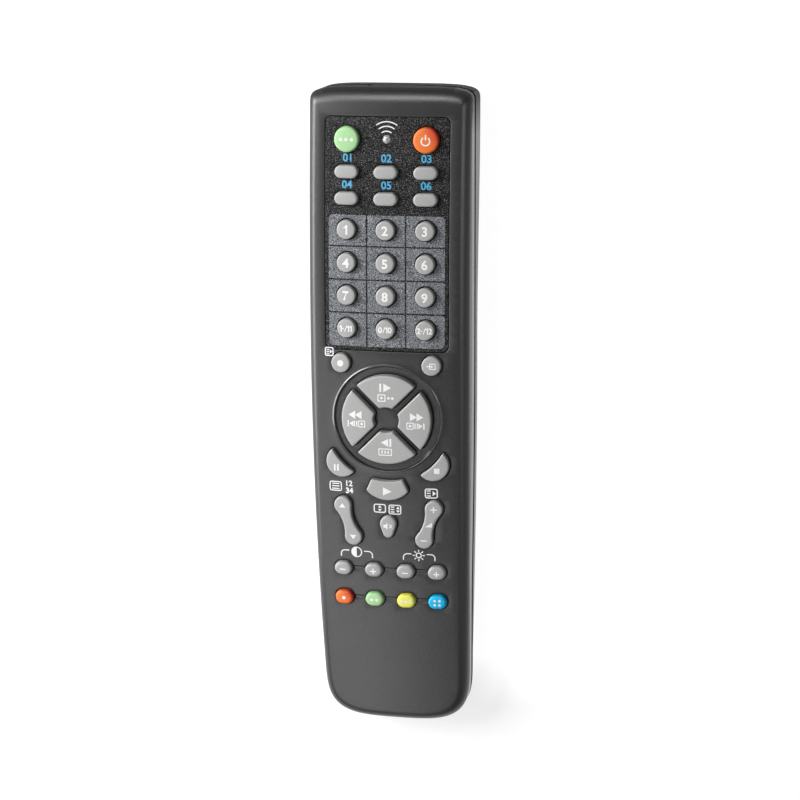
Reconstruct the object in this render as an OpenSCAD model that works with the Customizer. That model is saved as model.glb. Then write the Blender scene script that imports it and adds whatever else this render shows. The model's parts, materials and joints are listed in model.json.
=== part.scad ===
// Universal remote control lying on its flat back.
// X runs across the case, Y from the tail to the infrared end, Z up out of the key face.
// The origin is on the back, under the middle of the case. Millimetres.

/* [Case] */
// length of the case
body_len = 201; // [196:1:215]
// greatest width of the case
body_w = 49.5; // [48:0.5:54]
// height of the crest of the face above the back
body_t = 24; // [24:0.5:28]
// radius of the lengthwise arch of the face
arch_r = 732; // [725:1:1200]
// radius of the crosswise crown of the face
crown_r = 190; // [170:1:400]
// place of the crest along the length
crest_y = 21.5; // [15:0.5:22]
// narrowing of each side at the tail
tail_taper = 1.9; // [0:0.1:2.5]
// wall thickness of both shells
wall = 2; // [1.8:0.1:2.2]
// width of the rounding along the sides of the face
side_r = 2.8; // [2.6:0.1:3.4]
// height of the rounding along the sides of the face
side_h = 4.2; // [2.8:0.1:4.6]
// rounding at the infrared end of the face
nose_r = 4.5; // [3.5:0.1:5.5]
// rounding at the tail end of the face
tail_r = 3.5; // [3:0.1:4.5]
// height of the seam between the shells along the middle of the case
seam_h = 10.4; // [9.8:0.1:11]
// least drop from the face to the seam, which lowers the seam at both ends
seam_drop = 9.8; // [9:0.1:10.2]
// height of the decorative groove under the seam
groove_h = 1; // [0.3:0.1:1.1]
// depth of the decorative groove
groove_d = 0.6; // [0.3:0.05:0.8]
// height at which the sides start to curve in towards the back
belly_h = 6.2; // [4.5:0.1:7]
// the same height at the infrared end
belly_end = 1.2; // [1:0.1:3]
// width of the curve between the sides and the flat back
belly_w = 7; // [6:0.1:7.5]

/* [Face] */
// depth of the panel recess, the pad dish and the row channels
sink = 0.6; // [0.5:0.05:0.7]
// thickness of the keypad overlay sheet
overlay_t = 0.5; // [0.35:0.05:0.5]
// width of the overlay sheet
panel_w = 38.2; // [37:0.2:39]
// corner radius of the overlay sheet
panel_r = 2; // [1:0.1:3]
// radius of the round dish around the four pad keys
dish_r = 16.4; // [16:0.1:16.8]
// width of the channel that links the keys of a row
channel_w = 1.5; // [1:0.1:2]

/* [Keys] */
// gap between a key and its hole in the face
key_gap = 0.3; // [0.25:0.01:0.35]
// downward travel of a key
key_travel = 0.8; // [0.6:0.05:0.9]
// height of the keys above the face
key_proud = 1.8; // [1.4:0.1:2.2]
// step round the top edge of a key
key_edge = 0.35; // [0.2:0.05:0.5]
// width of the skirt that keeps a key under the face
skirt_w = 0.5; // [0.4:0.05:0.55]
// diameter of the two large round keys
big_d = 7.7; // [7:0.1:8]
// diameter of the number keys
num_d = 5.8; // [5:0.1:6.2]
// diameter of the two round keys under the panel
side_d = 5.9; // [5.4:0.1:6.2]
// length of the device keys
dev_l = 7.3; // [6.6:0.1:7.6]
// width of the device keys
dev_w = 3.9; // [3.4:0.1:4.2]
// radius of the circle of the four pad keys
pad_r = 13.9; // [13.4:0.1:14.2]
// gap between neighbouring pad keys
pad_gap = 2.2; // [2:0.1:2.6]
// radius of the hub between the pad keys
hub_r = 4; // [3.4:0.1:4.4]
// length of the adjusting keys
adj_l = 5.6; // [5:0.1:5.8]
// width of the adjusting keys
adj_w = 4.4; // [4:0.1:4.5]
// length of the coloured keys
hue_l = 5.8; // [5.2:0.1:6]
// width of the coloured keys
hue_w = 4.5; // [4:0.1:4.6]
// radius of the ends of the rocker keys
lobe_r = 2.75; // [2.5:0.05:2.85]
// half width of the waist of the rocker keys
waist = 1.7; // [1.4:0.05:1.9]

/* [Inside] */
// thickness of the circuit board
board_t = 1.2; // [1:0.1:1.3]
// width of the circuit board
board_w = 39; // [38.6:0.1:39.4]
// thickness of the silicone web
mat_t = 0.8; // [0.6:0.1:0.8]
// diameter of a cell
cell_d = 10.5; // [10.3:0.1:10.5]
// length of a cell
cell_l = 44.5; // [44:0.1:44.5]
// thickness of the battery cover
cover_t = 1.6; // [1.5:0.1:1.6]
// width of the battery cover between its tongues
cover_w = 25.2; // [24.6:0.1:26]
// gap between sliding and fitted faces
slip = 0.12; // [0.1:0.01:0.15]
// width of the infrared window
window_w = 15; // [13:0.1:16]
// height of the infrared window
window_h = 7; // [6:0.1:7]

/* [Hidden] */
$fn = 48;
shell_grey = [0.20, 0.20, 0.21];
key_grey = [0.72, 0.72, 0.70];
half_l = body_len / 2;
ys = body_len / 201;
xs = body_w / 49.5;
taper_y = 24.3 * ys;
taper_k = tail_taper / pow(half_l + taper_y, 2);
nose_l = 6;
nose_n = 5;
tail_l = 19.5;
tail_n = 4;
n_tail = 9;
n_side = 12;
n_nose = 8;
nh = n_tail + n_side + n_nose;
n_ring = 2 * nh;
nose_y = half_l - nose_l;
tail_y = tail_l - half_l;
nose_belly = 2;
tail_belly = 6;
belly_tight = 0.4;
belly_run = 70 * ys;
belly_min = 0.2;
seam_soft = 0.4;
floor_t = 2;

// stack from the back up to the keys
cell_z = cover_t + 0.3 + cell_d / 2;
roof_z = cell_z + cell_d / 2 + 0.15;
roof_t = 0.7;
board_z = roof_z + roof_t + 0.15;
mat_z = board_z + board_t;
key_z = mat_z + key_travel + 0.1;
skirt_z = key_z + 0.1;
skirt_t = 0.6;
mat_gap = 0.25;
rock_gap = 0.7;

// key rows along the length and columns across it
set_y = 85.4 * ys;
dev_y = [75.8 * ys, 67.9 * ys];
num_y = [58.6 * ys, 48.65 * ys, 38.7 * ys, 28.7 * ys];
pad_y = 0.7 * ys;
side_y = pad_y + 17.2;
play_y = pad_y - 22.7;
mute_y = -33.6 * ys;
rock_y = -32.4 * ys;
adj_y = -48.3 * ys;
hue_y = -58.1 * ys;
col_x = 12.06 * xs;
side_x = 14 * xs;
four_x = [-14.85 * xs, -5.03 * xs, 5.03 * xs, 14.85 * xs];
cres_x = 14.2 * xs;
cres_y = pad_y - 13.9;
cres_r = 4.95;
cres_cut = 19.9;
play_cut = 19.5;
pad_mid = 8.8;
rock_x = 12.72 * xs;
rock_a = 17.4;
rock_l = 5.3;
led_r = 1.35;
panel_y0 = 21.7 * ys;
panel_y1 = 92.2 * ys;
board_y0 = -64 * ys;
board_l = 155.3 * ys;
board_x = board_w / 2 * xs;

// screw posts
post_x = 17.9 * xs;
board_post = [[post_x, 80.6 * ys], [post_x, 23.3 * ys], [post_x, -53.1 * ys]];
post_r = 1.5;
case_post = [[17.5 * xs, half_l - 6.2], [17 * xs, 14 - half_l]];
case_r = 2.3;
column_r = 3.4;
case_z = 7;
board_pilot_r = 0.8;
case_pilot_r = 1.05;
head_bore_r = 2.4;
head_z = 3.2;
shank_bore_r = 1.3;

// battery bay
bay_w = 2 * cell_d + 0.7;
bay_y0 = 14.3 - half_l;
bay_l = cell_l + 5.9;
bay_y1 = bay_y0 + bay_l;
plate_t = 0.4;
plate_w = 8.8;
seat = 0.05;
nub_d = 3.6;
nub_h = 0.9;
cell_x = cell_d / 2 + 0.17;
cover_y1 = bay_y1 + 0.8;
window_z = seam_z(half_l) - 0.5;
window_lip = 0.9;
tongue_w = 1;
tongue_t = 0.8;
grip_n = 6;
grip_w = 12;
grip_step = 1.6;
grip_d = 0.5;

function width_at(y) = body_w / 2 - taper_k * pow(max(0, taper_y - y), 2);
function face_z(x, y) = body_t - x * x / (2 * crown_r) - pow(y - crest_y, 2) / (2 * arch_r);
function seam_z(y) = let (low = face_z(0, y) - seam_drop)
    (low + seam_h) / 2 - sqrt(pow((low - seam_h) / 2, 2) + pow(seam_soft, 2));
function belly_share(y) = let (t = min(1, max(0, (nose_y - y) / belly_run))) t * t * (3 - 2 * t);
function belly_z(y) = min(belly_end + (belly_h - belly_end) * belly_share(y), seam_z(y) - 1.2);
function slope_y(y) = atan(-(y - crest_y) / arch_r);
function slope_x(x) = atan(x / crown_r);

// outline of the case from the tail, up the right side and down the left side
function tail_a(i) = 90 * i / n_tail;
function nose_a(i) = 90 * (i - n_tail - n_side) / n_nose;
function side_f(i) = (i - n_tail) / n_side;
function out_x(i) = i < n_tail ? pow(sin(tail_a(i)), 2 / tail_n)
    : i <= n_tail + n_side ? 1 : i == nh ? 0 : pow(cos(nose_a(i)), 2 / nose_n);
function out_y(i, dn, dt) = i < n_tail ? tail_y - (tail_l - dt) * pow(cos(tail_a(i)), 2 / tail_n)
    : i <= n_tail + n_side ? tail_y + (nose_y - tail_y) * side_f(i)
    : nose_y + (nose_l - dn) * pow(sin(nose_a(i)), 2 / nose_n);
function half_i(j) = j <= nh ? j : n_ring - j;
function side_s(j) = j <= nh ? 1 : -1;
function rim(j, ds, dn, dt) = let (i = half_i(j), y = out_y(i, dn, dt))
    [side_s(j) * out_x(i) * (width_at(y) - ds), y];
function round_h(i) = i < n_tail ? side_h + (tail_r - side_h) * pow(cos(tail_a(i)), 2)
    : i <= n_tail + n_side ? side_h : side_h + (nose_r - side_h) * pow(sin(nose_a(i)), 2);

// closed rings of points at one level of the case
function seam_ring(d, dz) = [for (j = [0 : n_ring - 1]) let (p = rim(j, d, d, d))
    [p[0], p[1], seam_z(p[1]) + dz]];
function round_ring(d, cap, a) = [for (j = [0 : n_ring - 1]) let (
    c = 1 - cos(a),
    p = rim(j, d + (side_r - d) * c, d + (nose_r - d) * c, d + (tail_r - d) * c))
    [p[0], p[1], face_z(p[0], p[1]) - cap - (round_h(half_i(j)) - d) * (1 - sin(a))]];
function crown_ring(cap, t) = [for (j = [0 : n_ring - 1]) let (
    q = rim(j, side_r, nose_r + 2 * t, tail_r + 2 * t),
    x = q[0] * (1 - t))
    [x, q[1], face_z(x, q[1]) - cap]];
function belly_ring(d, low, a) = [for (j = [0 : n_ring - 1]) let (
    c = 1 - cos(a),
    e = rim(j, d, d, d),
    w = belly_w * (belly_tight + (1 - belly_tight) * belly_share(e[1])),
    p = rim(j, d + w * c, d + nose_belly * c, d + tail_belly * c))
    [p[0], p[1], low + max(belly_z(e[1]) - low, belly_min) * (1 - sin(a))]];

// solid between rings listed from the lowest to the highest
module ring_solid(rings) {
    k = len(rings);
    top = (k - 1) * n_ring;
    sides = [for (a = [0 : k - 2], j = [0 : n_ring - 1]) let (
        p = a * n_ring + j,
        q = a * n_ring + (j + 1) % n_ring)
        each [[p, p + n_ring, q + n_ring], [p, q + n_ring, q]]];
    base = [for (i = [0 : nh - 1]) i == 0 ? [0, 1, n_ring - 1]
        : i == nh - 1 ? [i, nh, n_ring - i] : [i, i + 1, n_ring - i - 1, n_ring - i]];
    lid = [for (f = base) [for (m = [len(f) - 1 : -1 : 0]) top + f[m]]];
    polyhedron(points = [for (r = rings) each r], faces = concat(sides, base, lid), convexity = 10);
}

module upper_solid(d, low, cap, n) {
    ring_solid(concat(
        [seam_ring(d, low)],
        [for (a = [0 : n]) round_ring(d, cap, 90 * a / n)],
        [for (t = [0.22, 0.45, 0.7, 0.9]) crown_ring(cap, t)]));
}

module lower_solid(d, high, low, n, cut) {
    ring_solid(concat(
        [for (a = [n : -1 : 0]) belly_ring(d, low, 90 * a / n)],
        cut > 0 ? [seam_ring(d, -groove_h - 0.05), seam_ring(d + cut, -groove_h)] : [],
        [seam_ring(d + cut, high)]));
}

// sheet that follows the face, from a to b above it
module face_sheet(x1, y0, y1, a, b, nx, ny) {
    m = nx + 1;
    t = m * (ny + 1);
    px = [for (s = [a, b], v = [0 : ny], u = [0 : nx]) let (
        x = -x1 + 2 * x1 * u / nx,
        y = y0 + (y1 - y0) * v / ny)
        [x, y, face_z(x, y) + s]];
    low = [for (v = [0 : ny - 1], u = [0 : nx - 1]) let (p = v * m + u) [p, p + 1, p + m + 1, p + m]];
    high = [for (f = low) [for (g = [3 : -1 : 0]) f[g] + t]];
    front = [for (u = [0 : nx - 1]) [u, u + t, u + 1 + t, u + 1]];
    back = [for (u = [0 : nx - 1]) let (p = ny * m + u) [p + 1, p + 1 + t, p + t, p]];
    left = [for (v = [0 : ny - 1]) let (p = v * m) [p + m, p + m + t, p + t, p]];
    right = [for (v = [0 : ny - 1]) let (p = v * m + nx) [p, p + t, p + m + t, p + m]];
    polyhedron(points = px, faces = concat(low, high, front, back, left, right), convexity = 4);
}

// outlines of the keys, each grown by $grow
module disc_2d(d) {
    circle(d = d + 2 * $grow);
}

module slot_2d(l, w) {
    for (s = [-1, 1]) translate([s * (l - w) / 2, 0]) circle(d = w + 2 * $grow);
    square([l - w, w + 2 * $grow], center = true);
}

module pad_2d(a) {
    p = (pad_gap / 2 - $grow) * sqrt(2);
    rotate(a) difference() {
        intersection() {
            circle(r = pad_r + $grow);
            polygon([[0, p], [40, 40 + p], [-40, 40 + p]]);
        }
        circle(r = hub_r - $grow);
    }
}

module crescent_2d(s) {
    difference() {
        circle(r = cres_r + $grow);
        translate([-s * cres_x, pad_y - cres_y]) circle(r = cres_cut - $grow, $fn = 96);
    }
}

module play_2d() {
    flare = 25;
    top_x = 3.4;
    top_y = 7;
    low_y = -5;
    low_x = top_x + (top_y - low_y) * tan(flare);
    base_r = 8.7;
    base_y = 5.8;
    g = $grow / cos(flare);
    difference() {
        intersection() {
            translate([0, base_y]) circle(r = base_r + $grow);
            polygon([[top_x + g, top_y], [low_x + g, low_y], [-low_x - g, low_y], [-top_x - g, top_y]]);
        }
        translate([0, pad_y - play_y]) circle(r = play_cut - $grow, $fn = 96);
    }
}

module rocker_2d(s) {
    rho = (pow(rock_l, 2) + pow(waist, 2) - pow(lobe_r, 2)) / (2 * (lobe_r - waist));
    q = rho + waist;
    t = (lobe_r + $grow) / (lobe_r + rho);
    rotate(s * rock_a) difference() {
        union() {
            for (v = [-1, 1]) translate([0, v * rock_l]) circle(r = lobe_r + $grow);
            square([2 * q * t, 2 * rock_l * (1 - t)], center = true);
        }
        for (u = [-1, 1]) translate([u * q, 0]) circle(r = rho - $grow, $fn = 96);
    }
}

module egg_2d() {
    head_r = 2.57;
    head_y = 1;
    foot_r = 1.65;
    foot_y = -1.9;
    k = asin((head_r - foot_r) / (head_y - foot_y));
    tuck = 0.01;
    a = head_r + $grow - tuck;
    b = foot_r + $grow - tuck;
    a_y = head_y - a * sin(k);
    b_y = foot_y - b * sin(k);
    translate([0, head_y]) circle(r = a + tuck);
    translate([0, foot_y]) circle(r = b + tuck);
    polygon([[a * cos(k), a_y], [-a * cos(k), a_y], [-b * cos(k), b_y], [b * cos(k), b_y]]);
}

module at_rockers(grow) {
    $grow = grow;
    for (s = [-1, 1]) translate([s * rock_x, rock_y]) rocker_2d(-s);
}

module at_keys(grow) {
    $grow = grow;
    for (s = [-1, 1]) {
        translate([s * col_x, set_y]) disc_2d(big_d);
        translate([s * side_x, side_y]) disc_2d(side_d);
        translate([s * cres_x, cres_y]) crescent_2d(s);
    }
    at_rockers(grow);
    for (x = [-col_x, 0, col_x]) {
        for (y = dev_y) translate([x, y]) slot_2d(dev_l, dev_w);
        for (y = num_y) translate([x, y]) disc_2d(num_d);
    }
    for (a = [0, 90, 180, 270]) translate([0, pad_y]) pad_2d(a);
    translate([0, play_y]) play_2d();
    translate([0, mute_y]) egg_2d();
    for (x = four_x) {
        translate([x, adj_y]) slot_2d(adj_l, adj_w);
        translate([x, hue_y]) slot_2d(hue_l, hue_w);
    }
}

// one key at x, y; its outline is the child and its top lies along the face at x + u, y + v
module key_at(x, y, u = 0, v = 0) {
    z = face_z(x + u, y + v) + key_proud;
    union() {
        difference() {
            translate([x, y, key_z]) linear_extrude(z - key_z + 2) with_grow(0) children();
            above(x + u, y + v, z - key_edge);
        }
        difference() {
            translate([x, y, key_z + 0.5]) linear_extrude(z - key_z + 2) with_grow(-key_edge) children();
            above(x + u, y + v, z);
        }
        translate([x, y, skirt_z]) linear_extrude(skirt_t) with_grow(skirt_w) children();
    }
}

module with_grow(g) {
    $grow = g;
    children();
}

// everything above a plane parallel to the face at x, y
module above(x, y, z) {
    translate([x, y, z]) rotate([slope_y(y), slope_x(x), 0]) translate([-20, -20, 0]) cube([40, 40, 12]);
}

module panel_2d(d) {
    w = panel_w / 2 - d;
    r = panel_r - d;
    for (sx = [-1, 1], y = [panel_y0 + panel_r, panel_y1 - panel_r]) {
        translate([sx * (w - r), y]) circle(r = r);
    }
    translate([-w, panel_y0 + panel_r]) square([2 * w, panel_y1 - panel_y0 - 2 * panel_r]);
    translate([r - w, panel_y0 + d]) square([2 * (w - r), panel_y1 - panel_y0 - 2 * d]);
}

module window_2d(d) {
    r = 1.2;
    w = window_w / 2 - r;
    h = window_h / 2 - r;
    for (u = [-w, w], v = [-h, h]) translate([u, v]) circle(r = r + d);
    square([2 * w, 2 * (h + r + d)], center = true);
    square([2 * (w + r + d), 2 * h], center = true);
}

module window_block(d, y0, y1) {
    translate([0, y1, window_z]) rotate([90, 0, 0]) linear_extrude(y1 - y0) window_2d(d);
}

module posts(list, r, z, h) {
    for (s = [-1, 1], p = list) translate([s * p[0], p[1], z]) cylinder(r = r, h = h);
}

module top_shell() {
    color(shell_grey) difference() {
        union() {
            difference() {
                upper_solid(0, 0, 0, 6);
                upper_solid(wall, -2, wall, 3);
            }
            intersection() {
                upper_solid(wall / 5, -4, wall / 5, 2);
                union() {
                    posts(board_post, post_r, mat_z, body_t);
                    posts(case_post, case_r, case_z, body_t);
                }
            }
        }
        face_recess();
        translate([0, 0, mat_z]) linear_extrude(body_t) face_holes();
        posts(board_post, board_pilot_r, mat_z - 1, 4.2);
        posts(case_post, case_pilot_r, case_z - 1, 5.5);
        window_block(slip, half_l - wall - 1.5, half_l + 1);
    }
}

// sunken places of the face: panel, dish of the pad and channels between keys
module face_recess() {
    intersection() {
        face_sheet(20.5, -62 * ys, 95 * ys, -sink, 5, 12, 26);
        translate([0, 0, body_t / 2]) linear_extrude(body_t) {
            panel_2d(0);
            translate([0, pad_y]) circle(r = dish_r, $fn = 96);
            for (y = [adj_y, hue_y]) translate([0, y]) square([2 * four_x[3], channel_w], center = true);
        }
    }
}

module face_holes() {
    at_keys(key_gap);
    translate([0, set_y]) circle(r = led_r + slip);
}

module bottom_shell() {
    color(shell_grey) difference() {
        union() {
            difference() {
                lower_solid(0, 0, 0, 5, groove_d);
                lower_solid(wall, 2, floor_t, 4, 0);
            }
            seam_lip();
            intersection() {
                lower_solid(wall / 4, body_t / 2, wall / 4, 3, 0);
                union() {
                    bay_block();
                    posts(case_post, column_r, 0, case_z);
                }
            }
        }
        translate([-bay_w / 2, bay_y0, -1]) cube([bay_w, bay_l, roof_z + 1]);
        cover_way();
        posts(case_post, head_bore_r, -1, head_z + 1);
        posts(case_post, shank_bore_r, -1, case_z + 2);
        window_block(slip, half_l - wall - 1.5, half_l + 1);
        window_block(window_lip + slip, half_l - wall - 2, half_l - wall);
    }
}

// ridge on the lower shell that fits inside the upper one
module seam_lip() {
    root = wall - 0.4;
    difference() {
        union() {
            ring_solid([seam_ring(root, -1.6), seam_ring(root, -0.3)]);
            ring_solid([seam_ring(wall + slip, -1.6), seam_ring(wall + slip, 1.2)]);
        }
        ring_solid([seam_ring(wall + slip + 0.9, -3), seam_ring(wall + slip + 0.9, 3)]);
    }
}

// walls and roof of the battery bay, and the thick floor that holds the cover
module bay_block() {
    translate([-bay_w / 2 - 1.2, bay_y0 - 1.2, 0]) cube([bay_w + 2.4, bay_l + 2.4, roof_z + roof_t]);
    translate([-cover_w / 2 - 3, -half_l, 0]) cube([cover_w + 6, cover_y1 + half_l + 2, cover_t + 1.4]);
}

// slot for the cover and its tongues, open at the tail
module cover_way() {
    run = cover_y1 + half_l + 1 + slip;
    wide = cover_w + 2 * slip;
    translate([-wide / 2, -half_l - 1, -1]) cube([wide, run, cover_t + 1 + slip]);
    translate([-wide / 2 - tongue_w, -half_l - 1, cover_t - tongue_t - slip])
        cube([wide + 2 * tongue_w, run, tongue_t + 2 * slip]);
}

module battery_cover() {
    long = cover_y1 + half_l;
    color(shell_grey) difference() {
        intersection() {
            lower_solid(0, 0, 0, 5, 0);
            union() {
                translate([-cover_w / 2, 3.5 - half_l, -1]) cube([cover_w, long - 3.5, cover_t + 1]);
                translate([-cover_w / 2 - tongue_w, 6.5 - half_l, cover_t - tongue_t])
                    cube([cover_w + 2 * tongue_w, long - 6.5, tongue_t]);
            }
        }
        for (k = [0 : grip_n - 1]) translate([-grip_w / 2, cover_y1 - 6 - grip_step * k, -1])
            cube([grip_w, grip_step / 2, 1 + grip_d]);
    }
}

module keypad_overlay() {
    color([0.09, 0.09, 0.10]) difference() {
        intersection() {
            face_sheet(20.5, -62 * ys, 95 * ys, -sink, overlay_t - sink, 12, 26);
            translate([0, 0, body_t / 2]) linear_extrude(body_t) panel_2d(slip);
        }
        translate([0, 0, body_t / 2 - 1]) linear_extrude(body_t + 2) face_holes();
    }
}

module ir_window() {
    color([0.16, 0.03, 0.05]) union() {
        window_block(0, half_l - wall - 0.3, half_l);
        window_block(window_lip, half_l - wall - 0.9, half_l - wall - slip);
    }
}

module keypad_mat() {
    color([0.55, 0.55, 0.53]) translate([0, 0, mat_z]) linear_extrude(mat_t) difference() {
        translate([0.4 - board_x, board_y0 + 0.6]) square([2 * board_x - 0.8, board_l - 1.2]);
        at_keys(skirt_w + mat_gap);
        at_rockers(skirt_w + rock_gap);
        translate([0, set_y]) circle(r = led_r + mat_gap);
        for (s = [-1, 1], p = board_post) translate([s * p[0], p[1]]) circle(r = post_r + mat_gap);
    }
}

module circuit_board() {
    color([0.10, 0.35, 0.16]) translate([0, 0, board_z]) difference() {
        translate([-board_x, board_y0, 0]) cube([2 * board_x, board_l, board_t]);
        posts(board_post, 0.85, -1, board_t + 2);
    }
}

module indicator_led() {
    color([0.85, 0.80, 0.78]) translate([0, set_y, mat_z]) {
        cylinder(r = led_r, h = face_z(0, set_y) - mat_z - 0.5);
        translate([0, 0, face_z(0, set_y) - mat_z - 0.5]) intersection() {
            translate([0, 0, -0.9]) sphere(r = 1.62);
            cylinder(r = led_r, h = 2);
        }
    }
}

module ir_leds() {
    color([0.35, 0.25, 0.45]) for (x = [-4, 4]) translate([x, half_l - 9, board_z - 2.7]) {
        rotate([-90, 0, 0]) cylinder(r = 2.5, h = 1);
        rotate([-90, 0, 0]) cylinder(r = 2.25, h = 2.6);
        translate([0, 2.6, 0]) sphere(r = 2.25);
        for (s = [-1, 1]) translate([s * 1.27 - 0.25, -3, -0.25]) cube([0.5, 3.1, 0.5]);
        for (s = [-1, 1]) translate([s * 1.27 - 0.25, -3, -0.25]) cube([0.5, 0.5, 2.95]);
    }
}

module controller_chip() {
    pins = 14;
    pitch = 1.27;
    color([0.08, 0.08, 0.09]) translate([0, 40 * ys, board_z]) {
        translate([-5, -9, -2.3]) cube([10, 18, 2]);
        for (s = [-1, 1], k = [0 : pins - 1]) translate([s * 5.8, (k - (pins - 1) / 2) * pitch, -0.225])
            cube([1.6, 0.45, 0.45], center = true);
    }
}

module resonator() {
    color([0.80, 0.55, 0.20]) translate([11 * xs, 30 * ys, board_z]) {
        translate([-3.5, -1.4, -6.2]) cube([7, 2.8, 5]);
        for (k = [-1, 0, 1]) translate([2.5 * k, 0, -1.3]) cylinder(r = 0.3, h = 1.3, $fn = 16);
    }
}

module capacitor() {
    color([0.15, 0.20, 0.45]) translate([-11 * xs, 12 * ys, board_z]) {
        translate([0, 0, -7.6]) cylinder(r = 2.5, h = 6.6);
        for (s = [-1, 1]) translate([s, 0, -1.1]) cylinder(r = 0.25, h = 1.1, $fn = 16);
    }
}

module driver_transistor() {
    color([0.10, 0.10, 0.11]) translate([0, 74 * ys, board_z]) {
        translate([0, 0, -6.5]) intersection() {
            cylinder(r = 2.3, h = 4.6);
            translate([-3, -1.1, 0]) cube([6, 4, 4.6]);
        }
        for (k = [-1, 0, 1]) translate([1.27 * k - 0.2, -0.2, -2]) cube([0.4, 0.4, 2]);
    }
}

module cells() {
    color([0.75, 0.60, 0.25]) for (s = [-1, 1])
        translate([s * cell_x, (bay_y0 + bay_y1) / 2, cell_z]) rotate([s * 90, 0, 0])
            translate([0, 0, bay_l / 2 - plate_t - seat - cell_l]) {
                cylinder(d = cell_d, h = cell_l - nub_h);
                cylinder(d = nub_d, h = cell_l);
            }
}

module contact_plates() {
    color([0.78, 0.78, 0.76]) for (s = [-1, 1], y = [bay_y0, bay_y1 - plate_t])
        translate([s * cell_x - plate_w / 2, y, cell_z - plate_w / 2]) cube([plate_w, plate_t, plate_w]);
}

// coil that narrows from radius r0 to r1 over the height h
function coil_pt(t, b, r0, r1, h, turns, wire) = let (
    r = r0 + (r1 - r0) * t + wire * cos(b),
    a = 360 * turns * t)
    [r * cos(a), r * sin(a), wire + (h - 2 * wire) * t + wire * sin(b)];

module coil(r0, r1, h, turns, wire) {
    n = 48;
    m = 6;
    pts = [for (k = [0 : n], b = [0 : m - 1]) coil_pt(k / n, 360 * b / m, r0, r1, h, turns, wire)];
    skin = [for (k = [0 : n - 1], b = [0 : m - 1]) let (c = (b + 1) % m)
        each [[k * m + b, k * m + c, (k + 1) * m + c], [k * m + b, (k + 1) * m + c, (k + 1) * m + b]]];
    ends = [[for (b = [m - 1 : -1 : 0]) b], [for (b = [0 : m - 1]) n * m + b]];
    polyhedron(points = pts, faces = concat(skin, ends), convexity = 10);
}

module cell_springs() {
    room = bay_l - 2 * plate_t - cell_l - 2 * seat;
    color([0.80, 0.80, 0.78]) for (s = [-1, 1])
        translate([s * cell_x, s < 0 ? bay_y0 + plate_t : bay_y1 - plate_t, cell_z])
            rotate([s * 90, 0, 0]) coil(3.6, 2, room, 3, 0.3);
}

// screw with a cross in its head, which lies under z = 0
module screw(r, head_r, head_h, l) {
    slot = head_r / 4;
    translate([0, 0, -head_h]) difference() {
        cylinder(r = head_r, h = head_h);
        for (a = [0, 90]) rotate(a) translate([0, 0, -0.25])
            cube([head_r * 1.14, slot, 1.5], center = true);
    }
    cylinder(r = r, h = l);
}

module board_screws() {
    color([0.70, 0.70, 0.72]) for (s = [-1, 1], p = board_post)
        translate([s * p[0], p[1], board_z]) screw(0.75, 1.6, 1, board_t + 2.6);
}

module case_screws() {
    color([0.70, 0.70, 0.72]) for (s = [-1, 1], p = case_post)
        translate([s * p[0], p[1], head_z]) screw(1, 2.1, 1.6, case_z + 0.6);
}

module key_set() {
    color([0.45, 0.72, 0.42]) key_at(-col_x, set_y) disc_2d(big_d);
}

module key_power() {
    color([0.85, 0.30, 0.12]) key_at(col_x, set_y) disc_2d(big_d);
}

module key_device_1() {
    color(key_grey) key_at(-col_x, dev_y[0]) slot_2d(dev_l, dev_w);
}

module key_device_2() {
    color(key_grey) key_at(0, dev_y[0]) slot_2d(dev_l, dev_w);
}

module key_device_3() {
    color(key_grey) key_at(col_x, dev_y[0]) slot_2d(dev_l, dev_w);
}

module key_device_4() {
    color(key_grey) key_at(-col_x, dev_y[1]) slot_2d(dev_l, dev_w);
}

module key_device_5() {
    color(key_grey) key_at(0, dev_y[1]) slot_2d(dev_l, dev_w);
}

module key_device_6() {
    color(key_grey) key_at(col_x, dev_y[1]) slot_2d(dev_l, dev_w);
}

module key_num_1() {
    color(key_grey) key_at(-col_x, num_y[0]) disc_2d(num_d);
}

module key_num_2() {
    color(key_grey) key_at(0, num_y[0]) disc_2d(num_d);
}

module key_num_3() {
    color(key_grey) key_at(col_x, num_y[0]) disc_2d(num_d);
}

module key_num_4() {
    color(key_grey) key_at(-col_x, num_y[1]) disc_2d(num_d);
}

module key_num_5() {
    color(key_grey) key_at(0, num_y[1]) disc_2d(num_d);
}

module key_num_6() {
    color(key_grey) key_at(col_x, num_y[1]) disc_2d(num_d);
}

module key_num_7() {
    color(key_grey) key_at(-col_x, num_y[2]) disc_2d(num_d);
}

module key_num_8() {
    color(key_grey) key_at(0, num_y[2]) disc_2d(num_d);
}

module key_num_9() {
    color(key_grey) key_at(col_x, num_y[2]) disc_2d(num_d);
}

module key_num_11() {
    color(key_grey) key_at(-col_x, num_y[3]) disc_2d(num_d);
}

module key_num_0() {
    color(key_grey) key_at(0, num_y[3]) disc_2d(num_d);
}

module key_num_12() {
    color(key_grey) key_at(col_x, num_y[3]) disc_2d(num_d);
}

module key_record() {
    color(key_grey) key_at(-side_x, side_y) disc_2d(side_d);
}

module key_input() {
    color(key_grey) key_at(side_x, side_y) disc_2d(side_d);
}

module key_pad_up() {
    color(key_grey) key_at(0, pad_y, 0, pad_mid) pad_2d(0);
}

module key_pad_left() {
    color(key_grey) key_at(0, pad_y, -pad_mid, 0) pad_2d(90);
}

module key_pad_down() {
    color(key_grey) key_at(0, pad_y, 0, -pad_mid) pad_2d(180);
}

module key_pad_right() {
    color(key_grey) key_at(0, pad_y, pad_mid, 0) pad_2d(270);
}

module key_pause() {
    color(key_grey) key_at(-cres_x, cres_y) crescent_2d(-1);
}

module key_stop() {
    color(key_grey) key_at(cres_x, cres_y) crescent_2d(1);
}

module key_play() {
    color(key_grey) key_at(0, play_y) play_2d();
}

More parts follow.
